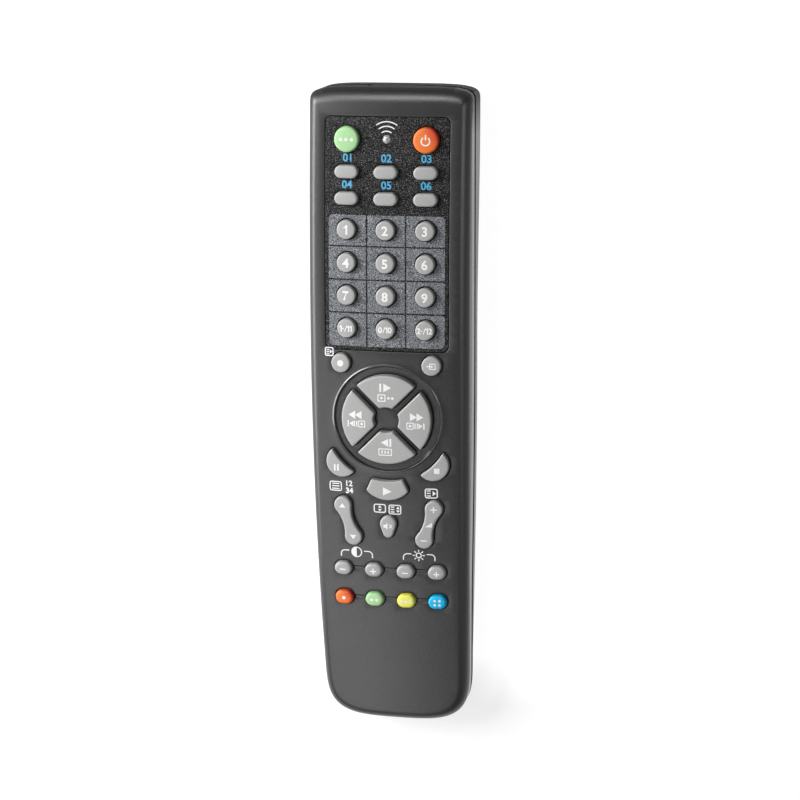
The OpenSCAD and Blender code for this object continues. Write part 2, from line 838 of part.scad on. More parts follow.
module key_mute() {
    color(key_grey) key_at(0, mute_y) egg_2d();
}

module rocker_channel() {
    color(key_grey) key_at(-rock_x, rock_y) rocker_2d(1);
}

module rocker_volume() {
    color(key_grey) key_at(rock_x, rock_y) rocker_2d(-1);
}

module key_contrast_minus() {
    color(key_grey) key_at(four_x[0], adj_y) slot_2d(adj_l, adj_w);
}

module key_contrast_plus() {
    color(key_grey) key_at(four_x[1], adj_y) slot_2d(adj_l, adj_w);
}

module key_bright_minus() {
    color(key_grey) key_at(four_x[2], adj_y) slot_2d(adj_l, adj_w);
}

module key_bright_plus() {
    color(key_grey) key_at(four_x[3], adj_y) slot_2d(adj_l, adj_w);
}

module key_red() {
    color([0.85, 0.30, 0.15]) key_at(four_x[0], hue_y) slot_2d(hue_l, hue_w);
}

module key_green() {
    color([0.50, 0.78, 0.48]) key_at(four_x[1], hue_y) slot_2d(hue_l, hue_w);
}

module key_yellow() {
    color([0.90, 0.84, 0.25]) key_at(four_x[2], hue_y) slot_2d(hue_l, hue_w);
}

module key_blue() {
    color([0.05, 0.50, 0.80]) key_at(four_x[3], hue_y) slot_2d(hue_l, hue_w);
}

// piece to draw

top_shell();
bottom_shell();
battery_cover();
keypad_overlay();
ir_window();
indicator_led();
keypad_mat();
circuit_board();
ir_leds();
controller_chip();
resonator();
capacitor();
driver_transistor();
cells();
contact_plates();
cell_springs();
board_screws();
case_screws();
key_set();
key_power();
key_device_1();
key_device_2();
key_device_3();
key_device_4();
key_device_5();
key_device_6();
key_num_1();
key_num_2();
key_num_3();
key_num_4();
key_num_5();
key_num_6();
key_num_7();
key_num_8();
key_num_9();
key_num_11();
key_num_0();
key_num_12();
key_record();
key_input();
key_pad_up();
key_pad_left();
key_pad_down();
key_pad_right();
key_pause();
key_stop();
key_play();
key_mute();
rocker_channel();
rocker_volume();
key_contrast_minus();
key_contrast_plus();
key_bright_minus();
key_bright_plus();
key_red();
key_green();
key_yellow();
key_blue();
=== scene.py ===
import json
import math

import bmesh
import bpy
import numpy as np
from mathutils import Matrix, Vector
from mathutils.geometry import delaunay_2d_cdt, tessellate_polygon


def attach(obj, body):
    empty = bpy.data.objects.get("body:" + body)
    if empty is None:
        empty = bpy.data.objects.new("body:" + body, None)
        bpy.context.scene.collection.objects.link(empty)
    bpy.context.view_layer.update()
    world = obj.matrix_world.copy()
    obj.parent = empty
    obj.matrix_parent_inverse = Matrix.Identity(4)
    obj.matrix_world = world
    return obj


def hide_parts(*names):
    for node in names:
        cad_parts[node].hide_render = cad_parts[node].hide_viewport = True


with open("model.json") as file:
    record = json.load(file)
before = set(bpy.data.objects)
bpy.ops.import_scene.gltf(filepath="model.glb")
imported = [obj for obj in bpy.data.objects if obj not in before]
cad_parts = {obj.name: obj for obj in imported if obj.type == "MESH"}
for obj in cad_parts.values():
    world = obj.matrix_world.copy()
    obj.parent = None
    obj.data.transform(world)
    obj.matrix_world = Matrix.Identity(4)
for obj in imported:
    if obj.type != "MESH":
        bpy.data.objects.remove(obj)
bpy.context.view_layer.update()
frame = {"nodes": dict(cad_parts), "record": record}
scene = bpy.context.scene

# Sizes of the case in millimetres, the same as the solids have
MM = 0.001
QUARTER = math.pi / 2
HALF_L = 100.5
BODY_W = 49.5
BODY_T = 24.0
ARCH_R = 732.0
CROWN_R = 190.0
CREST_Y = 21.5
TAPER_Y = 24.3
TAPER_K = 1.9 / (HALF_L + TAPER_Y) ** 2
WALL = 2.0
SIDE_R, SIDE_H, NOSE_R, TAIL_R = 2.8, 4.2, 4.5, 3.5
SEAM_H, SEAM_DROP, SEAM_SOFT = 10.4, 9.8, 0.4
GROOVE_H, GROOVE_D = 1.0, 0.6
BELLY_H, BELLY_END, BELLY_W, NOSE_BELLY, TAIL_BELLY = 6.2, 1.2, 7.0, 2.0, 6.0
BELLY_TIGHT, BELLY_RUN, BELLY_MIN, BELLY_UNDER = 0.4, 70.0, 0.2, 1.2
NOSE_L, NOSE_N, TAIL_L, TAIL_N = 6.0, 5, 19.5, 4
NOSE_Y, TAIL_Y = HALF_L - NOSE_L, TAIL_L - HALF_L
KEY_Z, KEY_PROUD, KEY_GAP = 15.5, 1.8, 0.3
WINDOW_X, WINDOW_Z, WINDOW_H, WINDOW_R = 7.62, 9.21, 3.62, 1.32
SINK = 0.6
OVERLAY_DOWN = 0.1
PAD_Y = 0.7
DISH_R = 16.4
FOUR_X = (-14.85, -5.03, 5.03, 14.85)
ADJ_Y, HUE_Y = -48.3, -58.1
COL_X = 12.06
LED_Y, LED_R, LED_GAP = 85.4, 1.35, 0.12
PANEL, PANEL_GAP = (19.1, 21.7, 92.2, 2.0), 0.15


def face_z(x, y):
    return BODY_T - x * x / (2 * CROWN_R) - (y - CREST_Y) ** 2 / (2 * ARCH_R)


def width_at(y):
    return BODY_W / 2 - TAPER_K * np.maximum(0, TAPER_Y - y) ** 2


def ease(t):
    return t * t * (3 - 2 * t)


def seam_z(y):
    low = face_z(0, y) - SEAM_DROP
    return (low + SEAM_H) / 2 - np.sqrt(((low - SEAM_H) / 2) ** 2 + SEAM_SOFT ** 2)


def belly_share(y):
    return ease(np.clip((NOSE_Y - y) / BELLY_RUN, 0, 1))


def belly_z(y):
    return np.minimum(BELLY_END + (BELLY_H - BELLY_END) * belly_share(y), seam_z(y) - BELLY_UNDER)


# Outline of the case: half rings from the tail to the nose, mirrored
N_TAIL, N_SIDE, N_NOSE = 44, 60, 34
TAIL_A = np.radians(90 * ease(np.arange(N_TAIL) / N_TAIL))
NOSE_A = np.radians(90 * ease(np.arange(1, N_NOSE + 1) / N_NOSE))
WINDOW_A = math.acos((WINDOW_X / (BODY_W / 2)) ** (NOSE_N / 2))
WINDOW_I = int(np.argmin(np.abs(NOSE_A - WINDOW_A)))
NOSE_A[WINDOW_I] = WINDOW_A
SIDE_F = np.arange(N_SIDE + 1) / N_SIDE
OUT_X = np.concatenate([
    np.sin(TAIL_A) ** (2 / TAIL_N), np.ones(N_SIDE + 1), np.clip(np.cos(NOSE_A), 0, 1) ** (2 / NOSE_N)])
OUT_X[-1] = 0
ROUND_H = np.concatenate([
    SIDE_H + (TAIL_R - SIDE_H) * np.cos(TAIL_A) ** 2, np.full(N_SIDE + 1, SIDE_H),
    SIDE_H + (NOSE_R - SIDE_H) * np.sin(NOSE_A) ** 2])


def mirrored(v, sign=1):
    return np.concatenate([v, sign * v[-2:0:-1]])


def half_rim(side, nose, tail):
    y = np.concatenate([
        TAIL_Y - (TAIL_L - tail) * np.cos(TAIL_A) ** (2 / TAIL_N),
        TAIL_Y + (NOSE_Y - TAIL_Y) * SIDE_F,
        NOSE_Y + (NOSE_L - nose) * np.sin(NOSE_A) ** (2 / NOSE_N)])
    return OUT_X * (width_at(y) - side), y


def rim(side, nose, tail):
    x, y = half_rim(side, nose, tail)
    return mirrored(x, -1), mirrored(y)


def seam_ring(d, dz):
    x, y = rim(d, d, d)
    return np.stack([x, y, seam_z(y) + dz], 1)


def round_ring(d, cap, angle):
    c = 1 - math.cos(angle)
    x, y = rim(d + (SIDE_R - d) * c, d + (NOSE_R - d) * c, d + (TAIL_R - d) * c)
    z = face_z(x, y) - cap - (mirrored(ROUND_H) - d) * (1 - math.sin(angle))
    return np.stack([x, y, z], 1)


def belly_ring(d, low, angle):
    c = 1 - math.cos(angle)
    edge = half_rim(d, d, d)[1]
    wide = BELLY_W * (BELLY_TIGHT + (1 - BELLY_TIGHT) * belly_share(edge))
    x, y = half_rim(d + wide * c, d + NOSE_BELLY * c, d + TAIL_BELLY * c)
    z = low + np.maximum(belly_z(edge) - low, BELLY_MIN) * (1 - math.sin(angle))
    return np.stack([mirrored(x, -1), mirrored(y), mirrored(z)], 1)


# Outlines of the keys as signed distances from their edge, in millimetres
def meet(*d, r=0.45):
    inside = np.minimum(np.max(d, axis=0) + r, 0)
    outside = np.sqrt(sum(np.maximum(k + r, 0) ** 2 for k in d))
    return inside + outside - r


def disc(d):
    return lambda x, y: np.hypot(x, y) - d / 2


def slot(l, w):
    return lambda x, y: np.hypot(np.maximum(np.abs(x) - (l - w) / 2, 0), y) - w / 2


def box_round(hx, y0, y1, r):
    def dist(x, y):
        qx = np.abs(x) - hx + r
        qy = np.abs(y - (y0 + y1) / 2) - (y1 - y0) / 2 + r
        return np.hypot(np.maximum(qx, 0), np.maximum(qy, 0)) + np.minimum(np.maximum(qx, qy), 0) - r
    return dist


def pad(turn):
    c, s = math.cos(math.radians(turn)), math.sin(math.radians(turn))
    outer, inner, cut = 13.9, 4.0, 1.1

    def dist(x, y):
        u, v = c * x + s * y, c * y - s * x
        ring = np.hypot(u, v)
        return meet(ring - outer, (np.abs(u) - v) / math.sqrt(2) + cut, inner - ring)
    return dist


def crescent(side):
    outer, hollow, across, along = 4.95, 19.9, 14.2, 13.9
    return lambda x, y: meet(np.hypot(x, y) - outer, hollow - np.hypot(x + side * across, y - along))


def play():
    flare, wide, high = math.radians(25), 3.4, 7
    low_r, low_y, hollow_r, hollow_y = 8.7, 5.8, 19.5, 22.7

    def dist(x, y):
        slant = (np.abs(x) - wide - (high - y) * math.tan(flare)) * math.cos(flare)
        return meet(np.hypot(x, y - low_y) - low_r, slant, hollow_r - np.hypot(x, y - hollow_y))
    return dist


def rocker(side):
    a = math.radians(side * 17.4)
    lobe, waist, reach = 2.75, 1.7, 5.3
    rho = (reach ** 2 + waist ** 2 - lobe ** 2) / (2 * (lobe - waist))
    q = rho + waist

    def dist(x, y):
        u = np.abs(math.cos(a) * x + math.sin(a) * y)
        v = np.abs(math.cos(a) * y - math.sin(a) * x)
        neck = rho - np.hypot(u - q, v)
        return np.where(q * reach - q * v - reach * u > 0, neck, np.hypot(u, v - reach) - lobe)
    return dist


def egg():
    r1, r2, h = 2.57, 1.65, 2.9
    b = (r1 - r2) / h
    a = math.sqrt(1 - b * b)

    def dist(x, y):
        u, v = np.abs(x), 1 - y
        k = a * v - b * u
        flank = a * u + b * v - r1
        return np.where(k < 0, np.hypot(u, v) - r1, np.where(k > a * h, np.hypot(u, v - h) - r2, flank))
    return dist


def unit(angles):
    return np.stack([np.cos(angles), np.sin(angles)], 1)


def polar(dist, centre, angles, grow):
    """Points of the line at distance grow from an outline, found by halving along each angle."""
    ray = unit(angles)
    lo, hi = np.zeros((len(ray), 1)), np.full((len(ray), 1), 30.0)
    for _ in range(44):
        mid = (lo + hi) / 2
        inside = (dist(*(mid * ray + centre).T) < grow)[:, None]
        lo, hi = np.where(inside, mid, lo), np.where(inside, hi, mid)
    return lo * ray + centre


def even_angles(dist, centre, n):
    """Angles that space n points evenly along an outline, closer where it turns."""
    a = np.linspace(0, 2 * math.pi, 1441)
    p = polar(dist, centre, a, 0.0)
    dx, dy = np.diff(p, axis=0).T
    heading = np.unwrap(np.arctan2(dy, dx))
    turn = np.abs(np.diff(np.append(heading, heading[0] + 2 * math.pi)))
    run = np.concatenate([[0], np.cumsum(np.hypot(dx, dy) + 1.2 * np.minimum(turn, 0.4))])
    return np.interp(np.arange(n) / n * run[-1], run, a)


# Every key: name, place, outline, material, centre of the outline, foot of its plane, rounding and dome
class Key:
    def __init__(self, name, x, y, dist, finish, centre=(0, 0), at=(0, 0), edge=0.5, dome=0.12, n=72):
        self.name, self.x, self.y, self.dist, self.finish = name, x, y, dist, finish
        self.centre, self.edge, self.dome = centre, edge, dome
        self.at = (x + at[0], y + at[1])
        self.angles = even_angles(dist, centre, n)
        edge_line = self.loop(0.0)
        self.mid = np.array([x + centre[0], y + centre[1]])
        self.half = (edge_line.max(0) - edge_line.min(0)) / 2

    def loop(self, grow):
        return polar(self.dist, self.centre, self.angles, grow) + (self.x, self.y)

    def top(self, x, y):
        ax, ay = self.at
        plane = face_z(ax, ay) + KEY_PROUD - (x - ax) * ax / CROWN_R - (y - ay) * (ay - CREST_Y) / ARCH_R
        u, v = (x - self.mid[0]) / self.half[0], (y - self.mid[1]) / self.half[1]
        return plane - self.dome * (u ** 2 + v ** 2)


keys = [
    Key("key_set", -COL_X, LED_Y, disc(7.7), "key_light_green", edge=0.75, dome=0.25),
    Key("key_power", COL_X, LED_Y, disc(7.7), "key_orange", edge=0.75, dome=0.25)]
for row, y in enumerate((75.8, 67.9)):
    for col, x in enumerate((-COL_X, 0, COL_X)):
        keys.append(Key(f"key_device_{3 * row + col + 1}", x, y, slot(7.3, 3.9), "key_pale", edge=0.7))
for row, y in enumerate((58.6, 48.65, 38.7, 28.7)):
    for col, x in enumerate((-COL_X, 0, COL_X)):
        label = (11, 0, 12)[col] if row == 3 else 3 * row + col + 1
        keys.append(Key(f"key_num_{label}", x, y, disc(5.8), "key_pale"))
for label, x in (("record", -14.0), ("input", 14.0)):
    keys.append(Key(f"key_{label}", x, 17.9, disc(5.9), "key_pale"))
for label, turn, at in (("up", 0, (0, 8.8)), ("left", 90, (-8.8, 0)), ("down", 180, (0, -8.8)),
                        ("right", 270, (8.8, 0))):
    keys.append(Key(f"key_pad_{label}", 0, PAD_Y, pad(turn), "key_grey", at, at, n=144))
keys += [
    Key("key_pause", -14.2, -13.2, crescent(-1), "key_grey", (-0.9, -1.0), n=96),
    Key("key_stop", 14.2, -13.2, crescent(1), "key_grey", (0.9, -1.0), n=96),
    Key("key_play", 0, -22.0, play(), "key_grey", (0, 0.4), n=112),
    Key("key_mute", 0, -33.6, egg(), "key_grey", edge=0.6),
    Key("rocker_channel", -12.72, -32.4, rocker(1), "key_grey", edge=0.6, n=112),
    Key("rocker_volume", 12.72, -32.4, rocker(-1), "key_grey", edge=0.6, n=112)]
for label, x in zip(("contrast_minus", "contrast_plus", "bright_minus", "bright_plus"), FOUR_X):
    keys.append(Key(f"key_{label}", x, ADJ_Y, slot(5.6, 4.4), "key_grey", edge=0.9, dome=0.15))
for label, finish, x in zip(("red", "green", "yellow", "blue"),
                            ("key_orange", "key_light_green", "key_yellow", "key_blue"), FOUR_X):
    keys.append(Key(f"key_{label}", x, HUE_Y, slot(5.8, 4.5), finish, edge=0.9, dome=0.15))

# Materials by name
mats = {}


def node_material(name):
    m = mats[name] = bpy.data.materials.new(name)
    m.use_nodes = True
    return m.node_tree, m.node_tree.nodes["Principled BSDF"]


def fed(tree, node, inputs):
    """Links sockets to the node's inputs and sets other values there."""
    for key, value in inputs.items():
        if isinstance(value, bpy.types.NodeSocket):
            tree.links.new(value, node.inputs[key])
        else:
            node.inputs[key].default_value = value
    return node


def added(tree, kind, inputs):
    return fed(tree, tree.nodes.new(kind), inputs)


def noise(tree, scale, detail=3.0, rough=0.55, stretch=None):
    coords = tree.nodes.new("ShaderNodeTexCoord").outputs["Object"]
    if stretch:
        coords = added(tree, "ShaderNodeMapping", {"Vector": coords, "Scale": stretch}).outputs["Vector"]
    inputs = {"Vector": coords, "Scale": scale, "Detail": detail, "Roughness": rough}
    return added(tree, "ShaderNodeTexNoise", inputs).outputs["Fac"]


def ramp(tree, value, stops):
    node = added(tree, "ShaderNodeValToRGB", {"Fac": value})
    elements = node.color_ramp.elements
    for element, (at, colour) in ((elements[0], stops[0]), (elements[1], stops[-1])):
        element.position, element.color = at, colour
    for at, colour in stops[1:-1]:
        elements.new(at).color = colour
    return node.outputs["Color"]


def faded(tree, value, low, high, start=0.0, end=1.0):
    """Runs from low to high while the value runs from start to end."""
    inputs = {"Value": value, "From Min": start, "From Max": end, "To Min": low, "To Max": high}
    return added(tree, "ShaderNodeMapRange", inputs).outputs["Result"]


def computed(tree, operation, *values):
    node = added(tree, "ShaderNodeMath", dict(enumerate(values)))
    node.operation = operation
    return node.outputs[0]


def tone(colour, k):
    return tuple(min(1.0, c * k) for c in colour) + (1,)


def finished(tree, shader, colour, gloss, height, bump, depth, specular, metallic=0.0):
    """Links a colour, a roughness and a bump, its depth in millimetres, to the shader."""
    lift = added(tree, "ShaderNodeBump", {"Strength": bump, "Distance": depth * MM, "Height": height})
    fed(tree, shader, {"Base Color": colour, "Roughness": gloss, "Normal": lift.outputs["Normal"],
                       "Metallic": metallic, "Specular IOR Level": specular})


def grained(name, colour, spread, rough, rough_spread, grain, bump, depth, specular=0.5, metallic=0.0,
            stretch=None):
    """A moulded or rolled surface: colour and bump follow one grain, roughness a wider one."""
    tree, shader = node_material(name)
    tex = noise(tree, grain, stretch=stretch)
    hue = ramp(tree, tex, [(0.35, tone(colour, 1 - spread)), (0.65, tone(colour, 1 + spread))])
    gloss = faded(tree, noise(tree, grain / 40, 2.0), rough - rough_spread, rough + rough_spread)
    finished(tree, shader, hue, gloss, tex, bump, depth, specular, metallic)


def speckled(name, stops, rough, grain, bump, depth, specular):
    """A grained sheet whose colour steps through the given stops of one noise."""
    tree, shader = node_material(name)
    tex = noise(tree, grain, 2.0, 0.7)
    hue = ramp(tree, tex, [(at, tone(colour, 1)) for at, colour in stops])
    finished(tree, shader, hue, faded(tree, tex, rough + 0.1, rough - 0.1), tex, bump, depth, specular)


def blushed(name, shade_colour, start, end):
    """Paints shade into a key's colour towards its far right corner."""
    tree = mats[name].node_tree
    base = tree.nodes["Principled BSDF"].inputs["Base Color"]
    spot = tree.nodes.new("ShaderNodeTexCoord").outputs["Generated"]
    across = added(tree, "ShaderNodeVectorMath", {0: spot, 1: (0.6, 0.4, 0)})
    across.operation = "DOT_PRODUCT"
    share = faded(tree, across.outputs["Value"], 0, 1, start, end)
    mix = added(tree, "ShaderNodeMix", {0: share, 6: base.links[0].from_socket, 7: shade_colour + (1,)})
    mix.data_type, mix.blend_type = "RGBA", "MULTIPLY"
    tree.links.new(mix.outputs[2], base)


# Colour and its spread, roughness and its spread, grain, bump strength and depth, and what differs
grained("shell", (0.0195, 0.0195, 0.0204), 0.3, 0.35, 0.04, 2600, 0.7, 0.07)
# Painted shade along the seam: near black and without shine, on the seam edge, the groove and the lips beside
# it
grained("shell_painted_seam_shade", (0.006, 0.006, 0.006), 0.3, 0.8, 0.05, 2600, 0.2, 0.03, 0.0)
# Painted shade on the nose end: darker and duller than the shell
grained("shell_end_painted_shade", (0.017, 0.017, 0.018), 0.3, 0.42, 0.04, 2600, 0.6, 0.06, 0.3)
# Painted highlight: lighter and glossier than the shell, on the wall band by the seam, the bead round the dish
# and the window edge
grained("shell_painted_sheen", (0.034, 0.034, 0.035), 0.3, 0.2, 0.03, 2600, 0.15, 0.02, 0.6)
grained("shell_rear", (0.036, 0.036, 0.037), 0.3, 0.3, 0.03, 2600, 0.3, 0.04)
speckled("overlay", [(0.45, (0.001, 0.001, 0.001)), (0.55, (0.004, 0.004, 0.004)),
                     (0.62, (0.21, 0.21, 0.21))], 0.62, 3500, 1.0, 0.14, 0.1)
speckled("tile", [(0.38, (0.03, 0.034, 0.04)), (0.5, (0.13, 0.14, 0.157)),
                  (0.62, (0.46, 0.475, 0.5))], 0.58, 3500, 0.8, 0.11, 0.2)
for name, colour, spread, rough, specular in (
        ("key_pale", (0.42, 0.417, 0.41), 0.04, 0.55, 0.5),
        ("key_grey", (0.42, 0.42, 0.415), 0.04, 0.5, 0.5),
        ("key_light_green", (0.44, 0.76, 0.36), 0.04, 0.5, 0.3),
        ("key_orange", (0.95, 0.21, 0.025), 0.05, 0.5, 0.3),
        ("key_yellow", (0.97, 0.93, 0.14), 0.04, 0.5, 0.3),
        ("key_blue", (0.0, 0.53, 0.92), 0.05, 0.5, 0.3)):
    grained(name, colour, spread, rough, 0.05, 1800, 0.12, 0.04, specular)
# Painted shade: the orange key darkens towards its right corner
blushed("key_orange", (0.75, 0.06, 0.4), 0.5, 0.88)
grained("print_white", (0.95, 0.95, 0.95), 0.05, 0.5, 0.05, 2400, 0.1, 0.02)
grained("print_cyan", (0.05, 0.44, 0.76), 0.12, 0.5, 0.05, 2400, 0.1, 0.02)
grained("window", (0.01, 0.005, 0.006), 0.3, 0.2, 0.03, 600, 0.05, 0.02, 0.01)
grained("clear_led", (0.5, 0.48, 0.47), 0.35, 0.2, 0.08, 1600, 0.5, 0.2, 0.7)
grained("silicone", (0.4, 0.4, 0.38), 0.06, 0.65, 0.05, 1500, 0.1, 0.04)
grained("board", (0.02, 0.16, 0.05), 0.2, 0.4, 0.08, 300, 0.1, 0.05)
grained("ir_led", (0.1, 0.06, 0.16), 0.15, 0.12, 0.03, 500, 0.05, 0.02)
grained("chip", (0.016, 0.016, 0.018), 0.25, 0.6, 0.06, 2500, 0.3, 0.05)
grained("resonator", (0.62, 0.3, 0.05), 0.1, 0.3, 0.06, 500, 0.1, 0.05)
grained("capacitor", (0.03, 0.05, 0.2), 0.12, 0.3, 0.06, 600, 0.08, 0.03)
grained("cell", (0.018, 0.018, 0.02), 0.2, 0.3, 0.05, 400, 0.05, 0.02, metallic=0.3)
grained("cell_band", (0.55, 0.33, 0.1), 0.08, 0.28, 0.05, 400, 0.05, 0.02, metallic=0.8)
grained("contact", (0.62, 0.61, 0.58), 0.1, 0.28, 0.06, 900, 0.1, 0.03, metallic=1.0, stretch=(1, 0.15, 1))
grained("screw", (0.55, 0.55, 0.57), 0.1, 0.32, 0.08, 1200, 0.15, 0.04, metallic=1.0)


# Mesh building
def smooth(mesh, sharp):
    mesh.polygons.foreach_set("use_smooth", np.ones(len(mesh.polygons), dtype=bool))
    mesh.set_sharp_from_angle(angle=math.radians(sharp))
    mesh.update()


def mesh_object(name, verts, faces, materials, face_mats=None, sharp=38.0, tidy=True):
    """An object of points in millimetres; tidy merges doubles and turns the faces outward."""
    mesh = bpy.data.meshes.new(name)
    mesh.from_pydata([tuple(v) for v in np.asarray(verts) * MM], [], [tuple(map(int, f)) for f in faces])
    for m in materials:
        mesh.materials.append(mats[m])
    if face_mats is not None:
        mesh.polygons.foreach_set("material_index", np.asarray(face_mats, dtype=np.int32))
    if tidy:
        bm = bmesh.new()
        bm.from_mesh(mesh)
        bmesh.ops.remove_doubles(bm, verts=bm.verts, dist=2e-7)
        bmesh.ops.recalc_face_normals(bm, faces=bm.faces)
        bm.to_mesh(mesh)
        bm.free()
    obj = bpy.data.objects.new(name, mesh)
    scene.collection.objects.link(obj)
    smooth(mesh, sharp)
    return obj


def placed(obj, node, body):
    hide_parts(node)
    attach(obj, body)


def tube(rows, n):
    """Faces between rows of n points each that close round."""
    return [(a * n + j, a * n + (j + 1) % n, (a + 1) * n + (j + 1) % n, (a + 1) * n + j)
            for a in range(rows - 1) for j in range(n)]


def capped(rows, n):
    return tube(rows, n) + [tuple(range(n - 1, -1, -1)), tuple(range((rows - 1) * n, rows * n))]


def lofted(rings):
    """Points and faces of a closed solid between rings that run tail, right side, nose, left side."""
    n = len(rings[0])
    faces = tube(len(rings), n)
    last = (len(rings) - 1) * n
    for i in range(n // 2):
        strip = list(dict.fromkeys([i, i + 1, (n - i - 1) % n, (n - i) % n]))
        if len(strip) > 2:
            faces += [tuple(reversed(strip)), tuple(last + k for k in strip)]
    return np.concatenate(rings), faces


def boolean(obj, cutter, operation):
    mod = obj.modifiers.new("cut", "BOOLEAN")
    mod.object, mod.operation, mod.solver = cutter, operation, "EXACT"
    done = bpy.data.meshes.new_from_object(obj.evaluated_get(bpy.context.evaluated_depsgraph_get()))
    obj.modifiers.clear()
    obj.data = done
    bpy.data.objects.remove(cutter)


def block(name, x, y0, y1, z0, z1):
    v = [(*p, z) for z in (z0, z1) for p in ((-x, y0), (x, y0), (x, y1), (-x, y1))]
    return mesh_object(name, v, capped(2, 4), ["shell"])


def revolved(profile, place, n):
    """Points and faces of a profile of (radius, height) turned round; place makes points of (u, v, w)."""
    turn = unit(2 * math.pi * np.arange(n) / n)
    return [place(r * c, r * d, h) for r, h in profile for c, d in turn], tube(len(profile), n)


def upright(x, y):
    return lambda u, v, w: (x + u, y + v, w)


def join(parts):
    verts, faces = [], []
    for v, f in parts:
        faces += [tuple(len(verts) + i for i in q) for q in f]
        verts += list(v)
    return verts, faces


def inside_loop(loop, p):
    x, y = p.T
    hit = np.zeros(len(p), dtype=bool)
    for (x0, y0), (x1, y1) in zip(loop, np.roll(loop, -1, axis=0)):
        cross = (y0 > y) != (y1 > y)
        with np.errstate(divide="ignore", invalid="ignore"):
            hit ^= cross & (x < (x1 - x0) * (y - y0) / (y1 - y0) + x0)
    return hit


def circle(x, y, r, n):
    return r * unit(np.arange(n) / n * 2 * math.pi) + (x, y)


def rounded_loop(hx, y0, y1, r, grow, per=10):
    """A box with rounded corners, moved outward by grow, with points at most about 1.5 mm apart."""
    pts = []
    for sx, cy, start in ((1, y1 - r, 0), (-1, y1 - r, 90), (-1, y0 + r, 180), (1, y0 + r, 270)):
        turn = unit(np.radians(start + 90 * np.arange(per + 1) / per))
        pts += list((r + grow) * turn + (sx * (hx - r), cy))
    out = []
    for p, q in zip(pts, pts[1:] + pts[:1]):
        n = max(1, int(math.dist(p, q) / 1.5))
        out += [p + (q - p) * i / n for i in range(n)]
    return np.array(out)


def raised(p, height, up=0.0):
    return np.column_stack([p, height(*p.T) + up])


# Sheets with holes: spacing of the inner points, their distance from holes and lines, and the lips
GRID, GRID_FROM, HOLE_CLEAR, LINE_CLEAR, BATCH = 2.4, 0.7, 0.35, 0.5, 400
LIP, ON_LIP = 0.2, 0.05
LIP_PROFILE = [(0.1, 0.025), (0.04, 0.08), (0.0, 0.2)]


def triangulated(outer, loops, lines, dists):
    """Delaunay triangles inside outer and outside the holes, with the loops and lines as edges."""
    pts, edges = [], []
    closed = [outer] + loops
    for i, chain in enumerate(closed + lines):
        base, n = len(pts), len(chain)
        pts.extend(map(tuple, chain))
        edges.extend((base + j, base + (j + 1) % n) for j in range(n if i < len(closed) else n - 1))
    lo, hi = outer.min(0) + GRID_FROM, outer.max(0)
    gx, gy = np.meshgrid(np.arange(lo[0], hi[0], GRID), np.arange(lo[1], hi[1], GRID))
    grid = np.stack([gx.ravel(), gy.ravel()], 1)
    grid = grid[inside_loop(outer, grid)]
    keep = np.ones(len(grid), dtype=bool)
    for dist in dists:
        keep &= dist(*grid.T) > HOLE_CLEAR
    fixed = np.array(pts)
    for start in range(0, len(grid), BATCH):
        gap = grid[start:start + BATCH, None] - fixed[None]
        keep[start:start + BATCH] &= np.hypot(gap[..., 0], gap[..., 1]).min(1) > LINE_CLEAR
    pts.extend(map(tuple, grid[keep]))
    co, _, tris, _, _, _ = delaunay_2d_cdt([Vector(p) for p in pts], edges, [], 0, 1e-5)
    co = np.array([tuple(c) for c in co])
    tris = np.array([t for t in tris if len(t) == 3])
    mid = co[tris].mean(1)
    good = inside_loop(outer, mid)
    for dist in dists:
        good &= dist(*mid.T) > 0
    tris = tris[good]
    used = np.unique(tris)
    back = np.full(len(co), -1)
    back[used] = np.arange(len(used))
    return co[used], back[tris]


def open_edges(tris):
    edges = dict.fromkeys(e for a, b, c in tris for e in ((a, b), (b, c), (c, a)))
    return [e for e in edges if (e[1], e[0]) not in edges]


def gradient(dist, p, h=1e-3):
    x, y = p.T
    g = np.stack([dist(x + h, y) - dist(x - h, y), dist(x, y + h) - dist(x, y - h)], 1) / (2 * h)
    return g / np.maximum(np.hypot(*g.T), 1e-9)[:, None]


def at_key(k):
    return lambda x, y: k.dist(x - k.x, y - k.y)


def hole_walls(verts, faces, co, edges, dist, height, deep, grow):
    """Adds a rounded lip and a straight wall below the open edges that run round one hole."""
    edges = [e for e in edges if all(abs(dist(*co[i]) - grow - LIP) < ON_LIP for i in e)]
    ids = sorted({i for e in edges for i in e})
    row = {v: i for i, v in enumerate(ids)}
    p = co[ids]
    g = gradient(dist, p)
    here = dist(*p.T)
    last = np.array(ids)
    for lip, down in LIP_PROFILE + [(0.0, deep)]:
        q = p - g * (here - grow - lip)[:, None]
        new = len(verts) + np.arange(len(ids))
        verts.extend(np.column_stack([q, height(*p.T) - down]))
        faces += [(last[row[b]], last[row[a]], new[row[a]], new[row[b]]) for a, b in edges]
        last = new


def pierced(outer, holes, loops, lines, height, walls=()):
    """A sheet with walls round its holes: points, faces and the middles of its flat triangles."""
    dists = [lambda x, y, d=d, g=g: d(x, y) - g - LIP for _, d, g, _ in holes]
    co, tris = triangulated(outer, [h[0] for h in holes] + loops, lines, dists)
    verts = list(raised(co, height))
    faces = [tuple(t) for t in tris]
    edges = open_edges(tris)
    for _, dist, grow, deep in [*holes, *walls]:
        hole_walls(verts, faces, co, edges, dist, height, deep, grow)
    return verts, faces, co[tris].mean(1)


